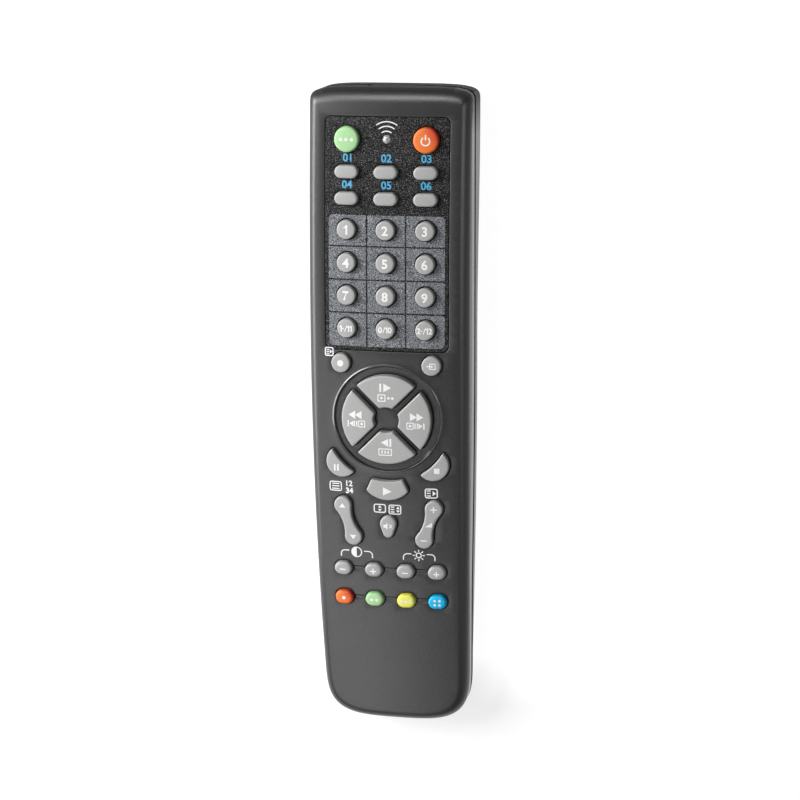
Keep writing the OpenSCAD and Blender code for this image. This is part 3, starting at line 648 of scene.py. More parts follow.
# Upper shell: face with holes, dish and channels, rounded rim, side walls and an inner skin
DISH_T = [-0.45, -0.3, -0.18, -0.08, 0.0, 0.08, 0.18, 0.3, 0.45, 0.6, 0.75, 0.9]
DISH_D = [0.6, 0.585, 0.53, 0.42, 0.18, -0.05, -0.17, -0.22, -0.19, -0.1, -0.03, 0.0]
BEAD_FROM, BEAD_TO = 0.05, 0.8
CHANNEL_T = [0.3, 0.5, 0.62, 0.72, 0.8, 0.9, 1.0]
CHANNEL_D = [0.5, 0.47, 0.38, 0.2, 0.08, 0.02, 0.0]
CHANNEL_X, CHANNEL_N = 14.7, 29
SEAM_EDGE = [(2.0, 0.0), (0.3, 0.0), (0.16, 0.03), (0.05, 0.12), (0.0, 0.3), (0.0, 0.8)]
BAND_H, ROUND_N, END_X, END_ROWS = 4.0, 12, 20, 7
# Face finishes: the shell, painted sheen, painted shade on the nose end, painted shade along the seam
SHELL, SHEEN, END_SHADE, SEAM_SHADE = range(4)
panel_dist = box_round(*PANEL)


def dish_down(x, y):
    return np.interp(np.hypot(x, y - PAD_Y) - DISH_R, DISH_T, DISH_D)


def channel_down(x, y):
    down = np.zeros_like(x)
    for row in (ADJ_Y, HUE_Y):
        down = np.maximum(down, np.interp(np.abs(y - row), CHANNEL_T, CHANNEL_D))
    return np.where(np.abs(x) < FOUR_X[3], down, 0)


def shell_height(x, y):
    return face_z(x, y) - dish_down(x, y) - channel_down(x, y)


def window_arch():
    """Upper edge of the window opening from its right foot to its left foot."""
    foot, corner_z = seam_z(HALF_L), WINDOW_Z + WINDOW_H - WINDOW_R
    out = [(WINDOW_X, foot)]
    for sx, start in ((1, 0), (-1, 90)):
        turn = unit(np.radians(start + 90 * np.arange(9) / 8))
        out += list(WINDOW_R * turn + (sx * (WINDOW_X - WINDOW_R), corner_z))
    return out + [(-WINDOW_X, foot)]


def build_top_shell():
    holes = [(k.loop(KEY_GAP + LIP), at_key(k), KEY_GAP, WALL) for k in keys if k.y < PANEL[1]]
    holes.append((rounded_loop(*PANEL, LIP), panel_dist, 0.0, SINK))
    top_ring = round_ring(0, 0, QUARTER)
    circles = [circle(0, PAD_Y, DISH_R + d, 180) for d in DISH_T]
    run = np.linspace(-CHANNEL_X, CHANNEL_X, CHANNEL_N)
    lines = [np.stack([run, np.full(CHANNEL_N, row + s * t)], 1)
             for row in (ADJ_Y, HUE_Y) for s in (-1, 1) for t in CHANNEL_T]
    verts, faces, mid = pierced(top_ring[:, :2], holes, circles, lines, shell_height)
    from_rim = np.hypot(mid[:, 0], mid[:, 1] - PAD_Y) - DISH_R
    # Painted highlight on the bead round the dish
    index = [SHEEN if BEAD_FROM < r < BEAD_TO else SHELL for r in from_rim]
    index += [SHELL] * (len(faces) - len(index))

    # Inner skin, seam edge in painted shade, straight wall with its band of painted sheen, and rounded rim;
    # painted shade on the nose end
    rings = [round_ring(WALL, WALL, 0.0)] + [seam_ring(d, z) for d, z in SEAM_EDGE]
    rings += [round_ring(0, 0, QUARTER * i / ROUND_N) for i in range(ROUND_N + 1)]
    wall_row = len(SEAM_EDGE)
    rings.insert(wall_row + 1, rings[wall_row] + (0, 0, BAND_H))
    n, base = len(top_ring), len(verts)
    for ring in rings:
        verts.extend(ring)
    first = N_TAIL + N_SIDE + 1 + WINDOW_I
    # Faces by rows: painted shade on the rim and wall over the nose, painted sheen on the wall band
    for a, ring in enumerate(rings[:-1]):
        for j in range(n):
            if a <= wall_row + 1 and first <= j < n - first:
                continue
            p, q = base + a * n + j, base + a * n + (j + 1) % n
            faces.append((p, q, q + n, p + n))
            # Painted shade: the seam edge and the wall up to 0.8 mm above it are near black
            if a < wall_row:
                index.append(SEAM_SHADE)
            elif a <= wall_row + END_ROWS and abs(ring[j][0]) < END_X and ring[j][1] > NOSE_Y:
                index.append(END_SHADE)
            else:
                index.append(SHEEN if a == wall_row else SHELL)

    # End wall above the window in painted shade, and the edge of the opening in painted sheen
    over = base + (wall_row + 2) * n
    arch = window_arch()
    start, m = len(verts), len(arch)
    for depth, grow in ((0.0, 0.12), (0.12, 0.0), (WALL, 0.0)):
        verts.extend((x * (1 + grow / WINDOW_X), HALF_L - depth, z + grow) for x, z in arch)
    around = list(range(over + n - first, over + first - 1, -1)) + list(range(start, start + m))
    above = tessellate_polygon([[Vector((verts[i][0], verts[i][2], 0)) for i in around]])
    faces += [tuple(around[i] for i in t) for t in above]
    index += [END_SHADE] * len(above)
    edge = [start + row * m + j for row in range(2) for j in range(m - 1)]
    faces += [(p, p + 1, p + 1 + m, p + m) for p in edge]
    index += [SHEEN] * len(edge)
    finishes = ["shell", "shell_painted_sheen", "shell_end_painted_shade", "shell_painted_seam_shade"]
    return mesh_object("shell_upper", verts, faces, finishes, index, sharp=40)


placed(build_top_shell(), "top_shell", "case")

# Keys with a skirt, rounded edges and slightly domed tops
SKIRT = ((0.0, 0.0), (0.5, 0.1), (0.5, 0.7), (0.0, 0.7))
EDGE_N, EDGE_FLAT = 7, 0.9
TOP_SHARES = (0.86, 0.66, 0.44, 0.22)


def build_key(k):
    n = len(k.angles)
    rows = [np.column_stack([k.loop(grow), np.full(n, KEY_Z + up)]) for grow, up in SKIRT]
    for i in range(EDGE_N + 1):
        a = QUARTER * i / EDGE_N
        rows.append(raised(k.loop(-k.edge * (1 - math.cos(a))), k.top, -EDGE_FLAT * k.edge * (1 - math.sin(a))))
    rim_line = k.loop(-k.edge)
    rows += [raised(k.mid + (rim_line - k.mid) * share, k.top) for share in TOP_SHARES]
    centre = len(rows) * n
    faces = tube(len(rows), n) + [(centre - n + j, centre - n + (j + 1) % n, centre) for j in range(n)]
    faces.append(tuple(range(n - 1, -1, -1)))
    return np.vstack(rows + [(*k.mid, k.top(*k.mid))]), faces


# Printed marks: lists of loops, the first outside and the others holes, or points with their faces
def tri(x, y, w, h, turn=0):
    p = np.array([(-w / 2, h / 2), (-w / 2, -h / 2), (w / 2, 0)])
    a = math.radians(turn)
    rot = np.array([[math.cos(a), math.sin(a)], [-math.sin(a), math.cos(a)]])
    return [p @ rot + (x, y)]


def bars(w, h, *places):
    return [[np.array([(-w, -h), (w, -h), (w, h), (-w, h)]) / 2 + at] for at in places]


def dots(r, *places):
    return [[circle(x, y, r, 28)] for x, y in places]


def ladder(n):
    """Faces between two lines of n points."""
    return [(i, n + i, n + i + 1, i + 1) for i in range(n - 1)]


def stroke(points, w):
    """A line of even width with square ends, in short steps."""
    p = np.array(points, float)
    if len(p) == 2:
        p = np.linspace(p[0], p[1], 6)
    d = np.gradient(p, axis=0)
    d /= np.hypot(*d.T)[:, None]
    side = np.stack([-d[:, 1], d[:, 0]], 1) * w / 2
    return np.vstack([p + side, p - side]), ladder(len(p))


def arc(x, y, r, a0, a1, w, n=20):
    ray = unit(np.radians(np.linspace(a0, a1, n)))
    return [np.vstack([ray * (r + w / 2), ray[::-1] * (r - w / 2)]) + (x, y)]


def frame_box(x, y, w, h, line, r=0.25):
    outer = rounded_loop(w / 2, -h / 2, h / 2, r, 0, 4) + (x, y)
    inner = rounded_loop(w / 2 - line, line - h / 2, h / 2 - line, max(r - line, 0.12), 0, 4) + (x, y)
    return [outer, inner]


def plus(x, y, s, w):
    a, b = s / 2, w / 2
    return [np.array([(-b, -a), (b, -a), (b, -b), (a, -b), (a, b), (b, b), (b, a), (-b, a), (-b, b), (-a, b),
                      (-a, -b), (-b, -b)]) + (x, y)]


def letters(text, x, y, size, weight):
    """Points and faces of a line of figures centred on x, y; size is the height of a figure."""
    curve = bpy.data.curves.new("figures", "FONT")
    curve.body = text
    curve.size = size / 0.72
    curve.align_x, curve.align_y = "CENTER", "CENTER"
    curve.offset = weight
    curve.resolution_u = 5
    obj = bpy.data.objects.new("figures", curve)
    scene.collection.objects.link(obj)
    mesh = bpy.data.meshes.new_from_object(obj.evaluated_get(bpy.context.evaluated_depsgraph_get()))
    v = np.array([tuple(p.co) for p in mesh.vertices])[:, :2]
    f = [tuple(p.vertices) for p in mesh.polygons]
    bpy.data.objects.remove(obj)
    bpy.data.curves.remove(curve)
    bpy.data.meshes.remove(mesh)
    return v - (v.max(0) + v.min(0)) / 2 + (x, y), f


def one_mark(x, h):
    """The figure one with a flag, h high and centred on x."""
    rungs = (-0.5, -0.33, -0.15, 0.02, 0.2, 0.35, 0.5)
    flag = [(-0.12, 0.36), (-0.28, 0.27), (-0.28, 0.13)]
    v = [(-0.07, t) for t in rungs] + [(0.13, t) for t in rungs] + flag
    return np.array(v) * h + (x, 0), ladder(len(rungs)) + [(5, 6, 14), (4, 5, 14), (4, 14, 15, 16)]


def small(text, x):
    return one_mark(x, 1.9) if text == "1" else letters(text, x, 0, 1.75, 0.09)


def slash(x):
    return stroke([(x, -0.95), (x + 0.7, 0.95)], 0.26)


def filled(shapes):
    """Points and upward faces of several shapes."""
    verts, faces = np.zeros((0, 2)), []
    for shape in shapes:
        if isinstance(shape, tuple):
            v, f = shape
        else:
            v = np.vstack(shape)
            f = tessellate_polygon([[Vector((p[0], p[1], 0)) for p in loop] for loop in shape])
        for face in f:
            (ax, ay), (bx, by), (cx, cy) = (v[i] for i in face[:3])
            up = (bx - ax) * (cy - ay) > (by - ay) * (cx - ax)
            faces.append(tuple(len(verts) + i for i in (face if up else reversed(face))))
        verts = np.vstack([verts, v])
    return verts, faces


SPEAKER = np.array([(-1.35, -0.1), (-0.8, -0.1), (-0.05, -0.75), (-0.05, 1.45), (-0.8, 0.8), (-1.35, 0.8)])
WEDGE = np.array([(-1.2, -0.6), (1.1, -0.6), (1.1, 0.9)])
marks = {
    "key_set": dots(0.5, (-1.7, 0), (0, 0), (1.7, 0)),
    "key_power": [arc(0, -0.15, 1.25, 125, 415, 0.42, 30), *bars(0.42, 1.6, (0, 1.0))],
    "key_record": dots(1.0, (0, 0)),
    "key_input": [frame_box(0.45, 0, 2.0, 1.9, 0.3), *bars(1.5, 0.32, (-0.6, 0)), tri(0.4, 0, 0.8, 1.0)],
    "key_pad_up": [*bars(0.62, 2.6, (-1.55, 10.2)), tri(0.6, 10.2, 2.4, 2.7),
                   frame_box(-1.2, 7.0, 2.5, 2.3, 0.32), *bars(0.8, 0.7, (-1.2, 7.0)),
                   *dots(0.42, (0.95, 7.0), (2.15, 7.0))],
    "key_pad_down": [tri(-0.45, -7.0, 2.3, 2.5, 180), *bars(0.62, 2.5, (1.35, -7.0)),
                     frame_box(-0.3, -10.0, 4.2, 2.3, 0.32),
                     *bars(0.45, 1.0, (-1.25, -10.0), (-0.3, -10.0), (0.65, -10.0))],
    "key_pause": bars(0.5, 2.1, (-2.2, -1.9), (-1.2, -1.9)),
    "key_stop": bars(1.7, 1.7, (1.3, -1.6)),
    "key_play": [tri(0.1, 0.1, 2.7, 2.7)],
    "key_mute": [[SPEAKER], stroke([(0.45, 0.95), (1.35, -0.25)], 0.26),
                 stroke([(0.45, -0.25), (1.35, 0.95)], 0.26)],
    "key_red": dots(0.55, (0, 0)),
    "key_green": dots(0.5, (-0.8, 0), (0.8, 0)),
    "key_yellow": dots(0.45, (-1.3, 0), (0, 0), (1.3, 0)),
    "key_blue": dots(0.4, (-0.75, 0.7), (0.75, 0.7), (-0.75, -0.7), (0.75, -0.7)),
    "rocker_channel": [tri(-1.6, 5.1, 1.5, 2.0, 90), tri(1.6, -5.1, 1.5, 2.0, 270)],
    "rocker_volume": [plus(1.6, 5.1, 2.0, 0.36), *bars(2.0, 0.36, (-1.6, -5.1)), [WEDGE]],
    "key_num_1": [one_mark(0.2, 2.9)],
    "key_num_11": [small("1", -1.55), *bars(0.5, 0.28, (-0.95, 0)), slash(-0.45), small("1", 0.8),
                   small("1", 1.6)],
    "key_num_0": [small("0", -1.45), slash(-0.6), small("1", 0.6), small("0", 1.5)],
    "key_num_12": [small("2", -1.75), *bars(0.5, 0.28, (-0.8, 0)), slash(-0.35), small("1", 0.85),
                   small("2", 1.75)],
}
for figure in range(2, 10):
    marks[f"key_num_{figure}"] = [letters(str(figure), 0, 0, 2.75, 0.12)]
for label, s, turn in (("left", -1, 180), ("right", 1, 0)):
    marks[f"key_pad_{label}"] = [
        tri(s * 8.55, 1.35, 2.1, 2.6, turn), tri(s * 10.55, 1.35, 2.1, 2.6, turn),
        *bars(0.42, 2.0, (s * 11.75, -1.45)), tri(s * 10.75, -1.45, 1.3, 1.8, turn),
        *bars(0.36, 1.8, (s * 9.75, -1.45), (s * 9.05, -1.45)),
        frame_box(s * 7.5, -1.45, 2.2, 2.2, 0.3), *dots(0.45, (s * 7.5, -1.45))]
for label in ("contrast", "bright"):
    marks[f"key_{label}_minus"] = bars(1.8, 0.4, (0, -0.2))
    marks[f"key_{label}_plus"] = [plus(0, -0.2, 1.9, 0.4)]

PRINT_LIFT = 0.02
for k in keys:
    verts, faces = build_key(k)
    index = [0] * len(faces)
    if k.name in marks:
        v, f = filled(marks[k.name])
        faces += [tuple(len(verts) + i for i in t) for t in f]
        index += [1] * len(f)
        verts = np.vstack([verts, raised(v + (k.x, k.y), k.top, PRINT_LIFT)])
    piece = mesh_object(k.name + "_cap", verts, faces, [k.finish, "print_white"], index, sharp=50, tidy=False)
    placed(piece, k.name, k.name)

# Keypad overlay with number tiles
TILE, TILE_X, TILE_Y = (17.8, 23.05, 62.9, 1.4), (-5.98, 5.98), (53.5, 43.4, 33.35)
TILE_HALF, TILE_PAST, TILE_N = 0.25, 0.5, 30
OVERLAY_HOLE, OVERLAY_EDGE = 1.9, 0.48
tile_dist = box_round(*TILE)


def overlay_height(x, y):
    return face_z(x, y) - OVERLAY_DOWN


def build_overlay():
    holes = [(k.loop(KEY_GAP + LIP), at_key(k), KEY_GAP, OVERLAY_HOLE) for k in keys if k.y > PANEL[1]]
    holes.append((circle(0, LED_Y, LED_R + LED_GAP + LIP, 48),
                  lambda x, y: np.hypot(x, y - LED_Y) - LED_R, LED_GAP, OVERLAY_HOLE))
    outer = rounded_loop(*PANEL, -PANEL_GAP - LIP)
    along = np.linspace(TILE[1] - TILE_PAST, TILE[2] + TILE_PAST, TILE_N)
    across = np.linspace(-TILE[0] - TILE_PAST, TILE[0] + TILE_PAST, TILE_N)
    sides = (-TILE_HALF, TILE_HALF)
    lines = [np.stack([np.full(TILE_N, x + s), along], 1) for x in TILE_X for s in sides]
    lines += [np.stack([across, np.full(TILE_N, y + s)], 1) for y in TILE_Y for s in sides]
    edge = (outer, lambda x, y: -panel_dist(x, y), PANEL_GAP, OVERLAY_EDGE)
    verts, faces, mid = pierced(outer, holes, [rounded_loop(*TILE, 0.0)], lines, overlay_height, [edge])
    tile = tile_dist(*mid.T) < 0
    for axis, places in enumerate((TILE_X, TILE_Y)):
        for at in places:
            tile &= np.abs(mid[:, axis] - at) > TILE_HALF
    index = list(tile.astype(int)) + [0] * (len(faces) - len(mid))
    return mesh_object("overlay_sheet", verts, faces, ["overlay", "tile"], index, sharp=40, tidy=False)


placed(build_overlay(), "keypad_overlay", "case")


# Marks on the overlay and on the case
def icon(x, y, shift, wide):
    lines = [(x + shift, y + d) for d in (-0.8, 0, 0.8)]
    return [frame_box(x, y, 4.0, 3.2, 0.36, 0.7), *bars(wide, 0.36, *lines)]


def arrows(x, y):
    return [tri(x, y + 0.6, 0.8, 1.2, 90), tri(x, y - 0.6, 0.8, 1.2, 270)]


def bracket(x0, x1, gap=2.4):
    """Two hooks that rise over a pair of keys and leave a gap for a sign between them."""
    mid, top, low, r = (x0 + x1) / 2, -42.5, -44.6, 1.2
    out = []
    for side, x in ((1, x0), (-1, x1)):
        turn = unit(np.linspace(0, QUARTER, 8)) * (-side * r, r) + (x + side * r, top - r)
        out.append(stroke([(x, low), (x, low + 0.5), *turn, (mid - side * gap, top)], 0.34))
    return out


def ring_mark(x, y, r, line, n):
    return [circle(x, y, r, n), circle(x, y, r - line, n)]


DISC_X, SUN_X, SIGN_Y = (FOUR_X[0] + FOUR_X[1]) / 2 - 0.6, (FOUR_X[2] + FOUR_X[3]) / 2 - 0.8, -42.9
on_case = [
    frame_box(-17.9, 21.0, 2.8, 2.8, 0.36, 0.5), *bars(0.9, 0.3, (-18.3, 21.0), (-18.3, 21.6), (-18.3, 20.4)),
    tri(-17.3, 21.0, 0.7, 1.3), *icon(-16.7, -21.6, 0, 2.4),
    letters("12", -12.3, -20.5, 1.75, 0.09), letters("34", -12.3, -22.8, 1.75, 0.09),
    *icon(13.4, -22.5, -0.75, 1.2), tri(14.3, -22.5, 1.0, 1.7),
    frame_box(-2.75, -28.0, 3.9, 2.9, 0.36, 0.7), *arrows(-2.75, -28.0),
    *icon(2.0, -28.2, -0.75, 1.2), *arrows(2.95, -28.2),
    *bracket(FOUR_X[0] - 0.7, FOUR_X[1] - 0.5), *bracket(FOUR_X[2] - 0.7, FOUR_X[3] - 0.7),
    ring_mark(DISC_X, SIGN_Y, 1.75, 0.35, 40), arc(DISC_X, SIGN_Y, 0.7, 90, 270, 1.4),
    ring_mark(SUN_X, SIGN_Y, 0.95, 0.35, 32)]
for ray in unit(np.arange(8) * math.pi / 4):
    on_case.append(stroke([ray * r + (SUN_X, SIGN_Y) for r in (1.2, 1.9)], 0.34))
signal = [arc(0, LED_Y + 0.1, r, 52, 128, 0.36) for r in (2.4, 3.85, 5.2)]
places = [(x, y) for y in (79.9, 71.95) for x in (-COL_X, 0, COL_X)]
codes = [letters(f"0{i + 1}", x, y, 2.35, 0.06) for i, (x, y) in enumerate(places)]


def printed(name, groups, height):
    """One piece of print on the case from shapes grouped by colour."""
    parts = [filled(shapes) for shapes in groups.values()]
    verts, faces = join(parts)
    index = [i for i, (_, f) in enumerate(parts) for _ in f]
    verts = raised(np.array(verts), height, PRINT_LIFT)
    piece = mesh_object(name, verts, faces, list(groups), index, tidy=False)
    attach(piece, "case")


printed("overlay_print", {"print_white": signal, "print_cyan": codes}, overlay_height)
printed("case_print", {"print_white": on_case}, face_z)

# Rear shell with the battery bay, the way of the cover and the screw bores; painted shade in the seam groove
# and on the nose end
COVER_X, COVER_T, COVER_Y0, COVER_Y1, SLIP = 12.6, 1.6, -97.0, -35.0, 0.12
TONGUE_X, TONGUE_T, TONGUE_Y0 = 1.0, 0.8, -94.0
BAY_X, BAY_Y0, BAY_Y1, BAY_WALL, ROOF_Z, ROOF_T = 10.85, -86.2, -35.8, 1.2, 12.55, 0.7
PLATE_IN, PLATE_Y0, PLATE_Z, PLATE_TOP = 0.4, -96.5, 0.3, 3.0
CASE_POST = [(s * x, y) for s in (-1, 1) for x, y in ((17.5, 94.3), (17.0, -86.5))]
POST = [(0, 1.3), (3.4, 1.3), (3.4, 7.0), (0, 7.0)]
BORE = [(0, -0.6), (3.35, -0.6), (2.75, 0.0), (2.48, 0.16), (2.4, 0.4), (2.4, 3.2), (1.3, 3.2), (1.3, 9.0),
        (0, 9.0)]
GROOVE = [(0.0, -0.14), (0.0, -0.13), (0.04, -0.06), (0.14, 0.0), (GROOVE_D, 0.02)]
CELL_X, CELL_Z, CELL_L, PLATE_T, SEAT = 5.42, 7.15, 44.5, 0.4, 0.05


def lower_rings(d, low, steps):
    return [belly_ring(d, low, QUARTER * i / steps) for i in range(steps, -1, -1)]


def rear_solid(name, solid):
    return mesh_object(name, *solid, ["shell_rear"])


def build_rear_shell():
    belly = lower_rings(0, 0, 14)
    v, f = lofted(belly + [seam_ring(d, z - GROOVE_H) for d, z in GROOVE] + [seam_ring(GROOVE_D, -0.02)])
    n = len(belly[0])
    # Painted shade: the groove rows of the rear shell are near black
    seam_shade_rows = range(len(belly) * n, (len(belly) + len(GROOVE)) * n)
    shade = [1 if i in seam_shade_rows else 0 for i in range(len(f))]
    rear = mesh_object("shell_rear", v, f, ["shell_rear", "shell_painted_seam_shade", "shell_end_painted_shade"], shade)
    hollow = rear_solid("hollow", lofted(lower_rings(WALL, 2.0, 6) + [seam_ring(WALL, 2.0)]))
    boolean(rear, hollow, "DIFFERENCE")
    bay = block("bay", BAY_X + BAY_WALL, BAY_Y0 - BAY_WALL, BAY_Y1 + BAY_WALL, PLATE_Z, ROOF_Z + ROOF_T)
    boolean(rear, bay, "UNION")
    plate = rear_solid("floor_plate", lofted(lower_rings(PLATE_IN, PLATE_IN, 10) + [seam_ring(PLATE_IN, 0)]))
    boolean(plate, block("plate_box", COVER_X + 3, PLATE_Y0, COVER_Y1 + 2, PLATE_Z, PLATE_TOP), "INTERSECT")
    boolean(rear, plate, "UNION")
    posts = rear_solid("posts", join([revolved(POST, upright(x, y), 32) for x, y in CASE_POST]))
    boolean(rear, posts, "UNION")
    boolean(rear, block("room", BAY_X, BAY_Y0, BAY_Y1, -1, ROOF_Z), "DIFFERENCE")
    y0, y1, top = -HALF_L - 1, COVER_Y1 + SLIP, COVER_T + SLIP
    boolean(rear, block("way", COVER_X + SLIP, y0, y1, -1, top), "DIFFERENCE")
    tongues = block("tongues", COVER_X + TONGUE_X + SLIP, y0, y1, COVER_T - TONGUE_T - SLIP, top + 0.001)
    boolean(rear, tongues, "DIFFERENCE")
    bores = rear_solid("bores", join([revolved(BORE, upright(x, y), 40) for x, y in CASE_POST]))
    boolean(rear, bores, "DIFFERENCE")
    loop = rounded_loop(WINDOW_X, -WINDOW_H, WINDOW_H, WINDOW_R, 0, 8)
    through = [(u, y, WINDOW_Z + v) for y in (96.0, 102.0) for u, v in loop]
    boolean(rear, mesh_object("opening", through, capped(2, len(loop)), ["shell"]), "DIFFERENCE")
    # Painted shade on the nose end of the rear shell
    for face in rear.data.polygons:
        if face.normal.y > 0.7 and face.center.y > 98.5 * MM and face.material_index == 0:
            face.material_index = 2
    smooth(rear.data, 35)
    return rear


# Finger grooves of the cover: half length, width, rounding, pitch, and share of the size at each height
GRIP_X, GRIP_W, GRIP_R, GRIP_PITCH = 6.0, 0.8, 0.38, 1.6
GRIP = [(1.0, -1.0), (1.0, 0.0), (0.97, 0.3), (0.9, 0.5)]


def build_cover():
    cover = rear_solid("cover_plate", lofted(lower_rings(0, 0, 14) + [seam_ring(0, 0)]))
    sheet = block("sheet", COVER_X, COVER_Y0, COVER_Y1, -1, COVER_T)
    tongue = block("tongue", COVER_X + TONGUE_X, TONGUE_Y0, COVER_Y1, COVER_T - TONGUE_T, COVER_T)
    boolean(sheet, tongue, "UNION")
    boolean(cover, sheet, "INTERSECT")
    grooves = []
    for i in range(6):
        loop = rounded_loop(GRIP_X, 0, GRIP_W, GRIP_R, 0, 6) + (0, COVER_Y1 - 6 - GRIP_PITCH * i)
        n, mid = len(loop), loop.mean(0)
        rows = [np.column_stack([mid + (loop - mid) * k, np.full(n, z)]) for k, z in GRIP]
        grooves.append((np.vstack(rows), capped(len(GRIP), n)))
    boolean(cover, rear_solid("grooves", join(grooves)), "DIFFERENCE")
    smooth(cover.data, 35)
    return cover


placed(build_rear_shell(), "bottom_shell", "case")
placed(build_cover(), "battery_cover", "battery_cover")

# Infrared window: half sizes, corner, and how far each level grows beyond them
PANE_X, PANE_H, PANE_R = 7.5, 3.5, 1.2
PANE = [(0.9, 97.6), (0.9, 98.25), (0.0, 98.25), (0.0, 100.05), (-0.05, 100.22), (-0.16, 100.36),
        (-0.34, 100.44), (-1.2, 100.46)]


def build_window():
    loop = rounded_loop(PANE_X, -PANE_H, PANE_H, PANE_R, 0, 8)
    verts = [(u * (PANE_X + grow) / PANE_X, y, WINDOW_Z + v * (PANE_H + grow) / PANE_H)
             for grow, y in PANE for u, v in loop]
    return mesh_object("window_pane", verts, capped(len(PANE), len(loop)), ["window"], sharp=50)


# Indicator, cells and springs
def build_led():
    foot, top, r, drop = 14.6, face_z(0, LED_Y) - 0.5, 1.62, 0.9
    dome = [(min(r * math.cos(a), LED_R), top - drop + r * math.sin(a)) for a in np.linspace(0.62, QUARTER, 12)]
    profile = [(0, foot), (LED_R, foot), (LED_R, top - 0.1)] + dome[:-1] + [(0, dome[-1][1])]
    return mesh_object("led_lens", *revolved(profile, upright(0, LED_Y), 40), ["clear_led"], sharp=60)


CELL = [(0, 0.15), (3.5, 0.15), (3.9, 0.0), (4.7, 0.0), (5.0, 0.12), (5.2, 0.4), (5.25, 0.8), (5.25, 1.4),
        (5.25, 30.0), (5.25, 30.6), (5.25, 42.4), (5.25, 42.9), (5.15, 43.3), (4.9, 43.52), (4.5, 43.58),
        (3.4, 43.58), (3.1, 43.4), (2.2, 43.4), (1.9, 43.5), (1.8, 43.75), (1.8, 44.3), (1.7, 44.45),
        (1.5, 44.5), (0, 44.5)]
CELL_BANDS = [2] * 7 + [0] + [1] * 2 + [2] * 13
CELL_N = 64


def build_cells():
    parts, index = [], []
    for s in (-1, 1):
        end = (BAY_Y1 if s < 0 else BAY_Y0) + s * (PLATE_T + SEAT + CELL_L)
        lying = lambda u, v, w: (s * CELL_X + u, end - s * w, CELL_Z + v)
        parts.append(revolved(CELL, lying, CELL_N))
        index += [b for b in CELL_BANDS for _ in range(CELL_N)]
    return mesh_object("cell_pair", *join(parts), ["cell", "cell_band", "contact"], index, sharp=40)


def build_springs():
    turns, wire, high, wide, taper, n, m = 3, 0.3, 5.0, 3.6, 1.6, 150, 10
    t, b = np.meshgrid(np.arange(n + 1) / n, 2 * math.pi * np.arange(m) / m, indexing="ij")
    a = 2 * math.pi * turns * t
    r = wide - taper * t + wire * np.cos(b)
    w = wire + (high - 2 * wire) * t + wire * np.sin(b)
    parts = []
    for s in (-1, 1):
        foot = BAY_Y0 + PLATE_T if s < 0 else BAY_Y1 - PLATE_T
        x, z = s * CELL_X + r * np.cos(a), CELL_Z + s * r * np.sin(a)
        parts.append((np.stack([x, foot - s * w, z], 2).reshape(-1, 3), capped(n + 1, m)))
    return mesh_object("spring_pair", *join(parts), ["contact"], sharp=50)


placed(build_window(), "ir_window", "case")
placed(build_led(), "indicator_led", "case")
placed(build_cells(), "cells", "case")
placed(build_springs(), "cell_springs", "case")

# Better materials on the solids that stay
slot_of = {s["node"]: s["material_slot"] for s in frame["record"]["subparts"]}
for node, obj in frame["nodes"].items():
    if not obj.hide_render:
        obj.data.materials.clear()
        obj.data.materials.append(mats[slot_of[node]])

# Floor: glows white to the camera, less in a band at the tail so the cast shadow shows there; glows as a
# painted reflection, dimmer near the infrared end and beside the case; clear from below
bpy.ops.mesh.primitive_plane_add(size=8, location=(0, 0, -0.0002))
floor = bpy.context.object
floor.name = "floor"
tree, shader = node_material("floor")
path = tree.nodes.new("ShaderNodeLightPath").outputs
spot = tree.nodes.new("ShaderNodeTexCoord").outputs["Object"]
axes = added(tree, "ShaderNodeSeparateXYZ", {"Vector": spot}).outputs
pale = computed(tree, "MAXIMUM", faded(tree, axes["Y"], 0.7, 0.95, -0.098, -0.082),
                faded(tree, axes["Y"], 0.95, 0.7, -0.3, -0.13))
seen = computed(tree, "MULTIPLY", path["Is Camera Ray"], pale)
# Painted reflection: the floor glows in reflections, faded near the infrared end and beside the case
dim = computed(tree, "MULTIPLY", faded(tree, axes["Y"], 0.86, 0.043, 0.085, 0.101),
               faded(tree, axes["X"], 1.0, 0.3, 0.032, 0.041))
reflected = computed(tree, "MULTIPLY", path["Is Glossy Ray"], dim)
fed(tree, shader, {"Base Color": (0.4, 0.4, 0.4, 1), "Roughness": 0.9, "Specular IOR Level": 0.1,
                   "Emission Color": (1, 1, 1, 1),
                   "Emission Strength": computed(tree, "MAXIMUM", seen, reflected)})
below = tree.nodes.new("ShaderNodeNewGeometry").outputs["Backfacing"]
clear = tree.nodes.new("ShaderNodeBsdfTransparent").outputs["BSDF"]
under = computed(tree, "MAXIMUM", path["Is Shadow Ray"], below)
pick = added(tree, "ShaderNodeMixShader", {0: under, 1: shader.outputs["BSDF"], 2: clear})
fed(tree, tree.nodes["Material Output"], {"Surface": pick.outputs["Shader"]})
floor.data.materials.append(mats["floor"])

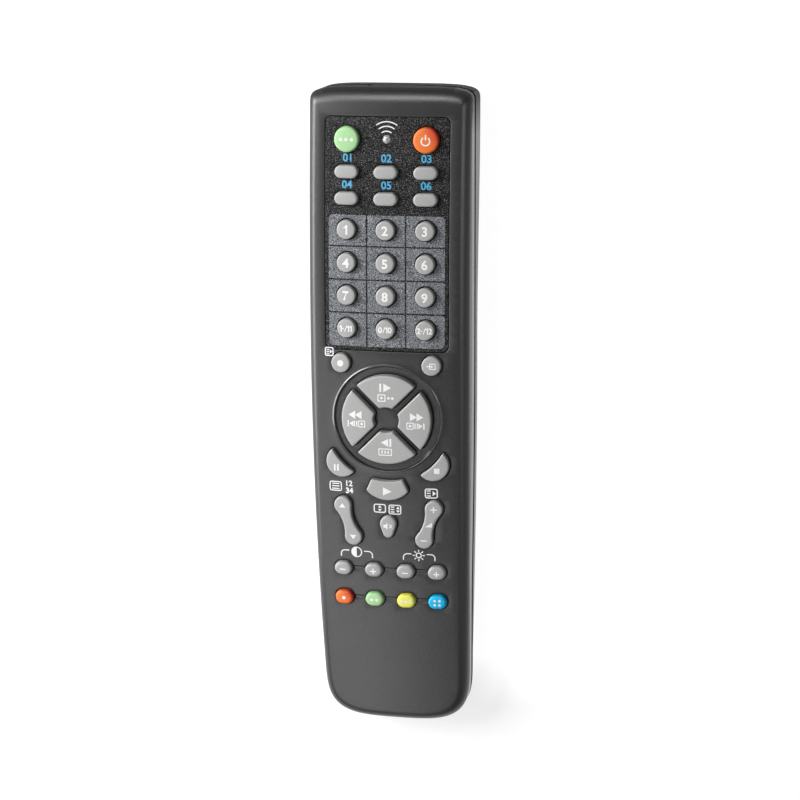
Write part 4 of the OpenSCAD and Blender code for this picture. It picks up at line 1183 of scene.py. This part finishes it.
# World: a little light, more of it in reflections and most to the camera
world = bpy.data.worlds.new("studio")
scene.world = world
world.use_nodes = True
tree = world.node_tree
path = tree.nodes.new("ShaderNodeLightPath").outputs
shown = computed(tree, "MAXIMUM", path["Is Camera Ray"], path["Is Transmission Ray"])
level = computed(tree, "MULTIPLY_ADD", path["Is Glossy Ray"], 0.15, 0.1)
level = computed(tree, "MULTIPLY_ADD", shown, 0.9, level)
fed(tree, tree.nodes["Background"], {"Color": (1, 1, 1, 1), "Strength": level})


# Lamps; the second group lights only reflections
def lamp(name, at, aim, size, power):
    data = bpy.data.lights.new(name, "AREA")
    data.shape, data.size, data.size_y = "RECTANGLE", size[0], size[1]
    data.energy = power
    obj = bpy.data.objects.new(name, data)
    scene.collection.objects.link(obj)
    obj.location = at
    obj.rotation_euler = (Vector(aim) - Vector(at)).to_track_quat("-Z", "Y").to_euler()
    return obj


lamp("left", (-1.3, 0.66, 1.1), (0, 0, 0.01), (0.8, 0.9), 32.0)
lamp("overhead", (-0.5, -0.4, 0.88), (0, -0.02, 0), (0.7, 0.7), 3.9)
lamp("under", (-0.2, -0.25, -0.8), (0, 0, 0), (0.8, 0.8), 4.0)
for values in (("top_strip", (-0.1, 0.7, 0.55), (0, 0.09, 0.02), (0.5, 0.35), 5.4),
               ("left_strip", (-0.95, 0.2, 0.4), (0, 0.05, 0.02), (1.3, 0.6), 25.0),
               ("low_strip", (-0.28, -0.8, 0.72), (0, -0.07, 0.02), (0.5, 0.5), 2.0),
               ("right_strip", (0.55, 0.1, 0.42), (0, 0.02, 0.02), (0.12, 0.5), 0.8),
               ("right_wide", (0.72, -0.05, 0.45), (0, -0.02, 0.02), (1.0, 0.8), 1.9)):
    lamp(*values).visible_diffuse = False

# Camera as in the photograph
cam = bpy.data.cameras.new("camera")
cam.lens, cam.sensor_width = 99.39, 36.0
camera = bpy.data.objects.new("camera", cam)
scene.collection.objects.link(camera)
right = Vector((0.97843, -0.0063, -0.20647))
backward = Vector((0.20242, 0.22838, 0.95230)).normalized()
right = (right - backward * right.dot(backward)).normalized()
up = backward.cross(right)
camera.matrix_world = Matrix.Translation((0.13969, 0.15983, 0.66151)) @ Matrix(
    (right, up, backward)).transposed().to_4x4()
scene.camera = camera
scene.view_settings.view_transform = "Standard"
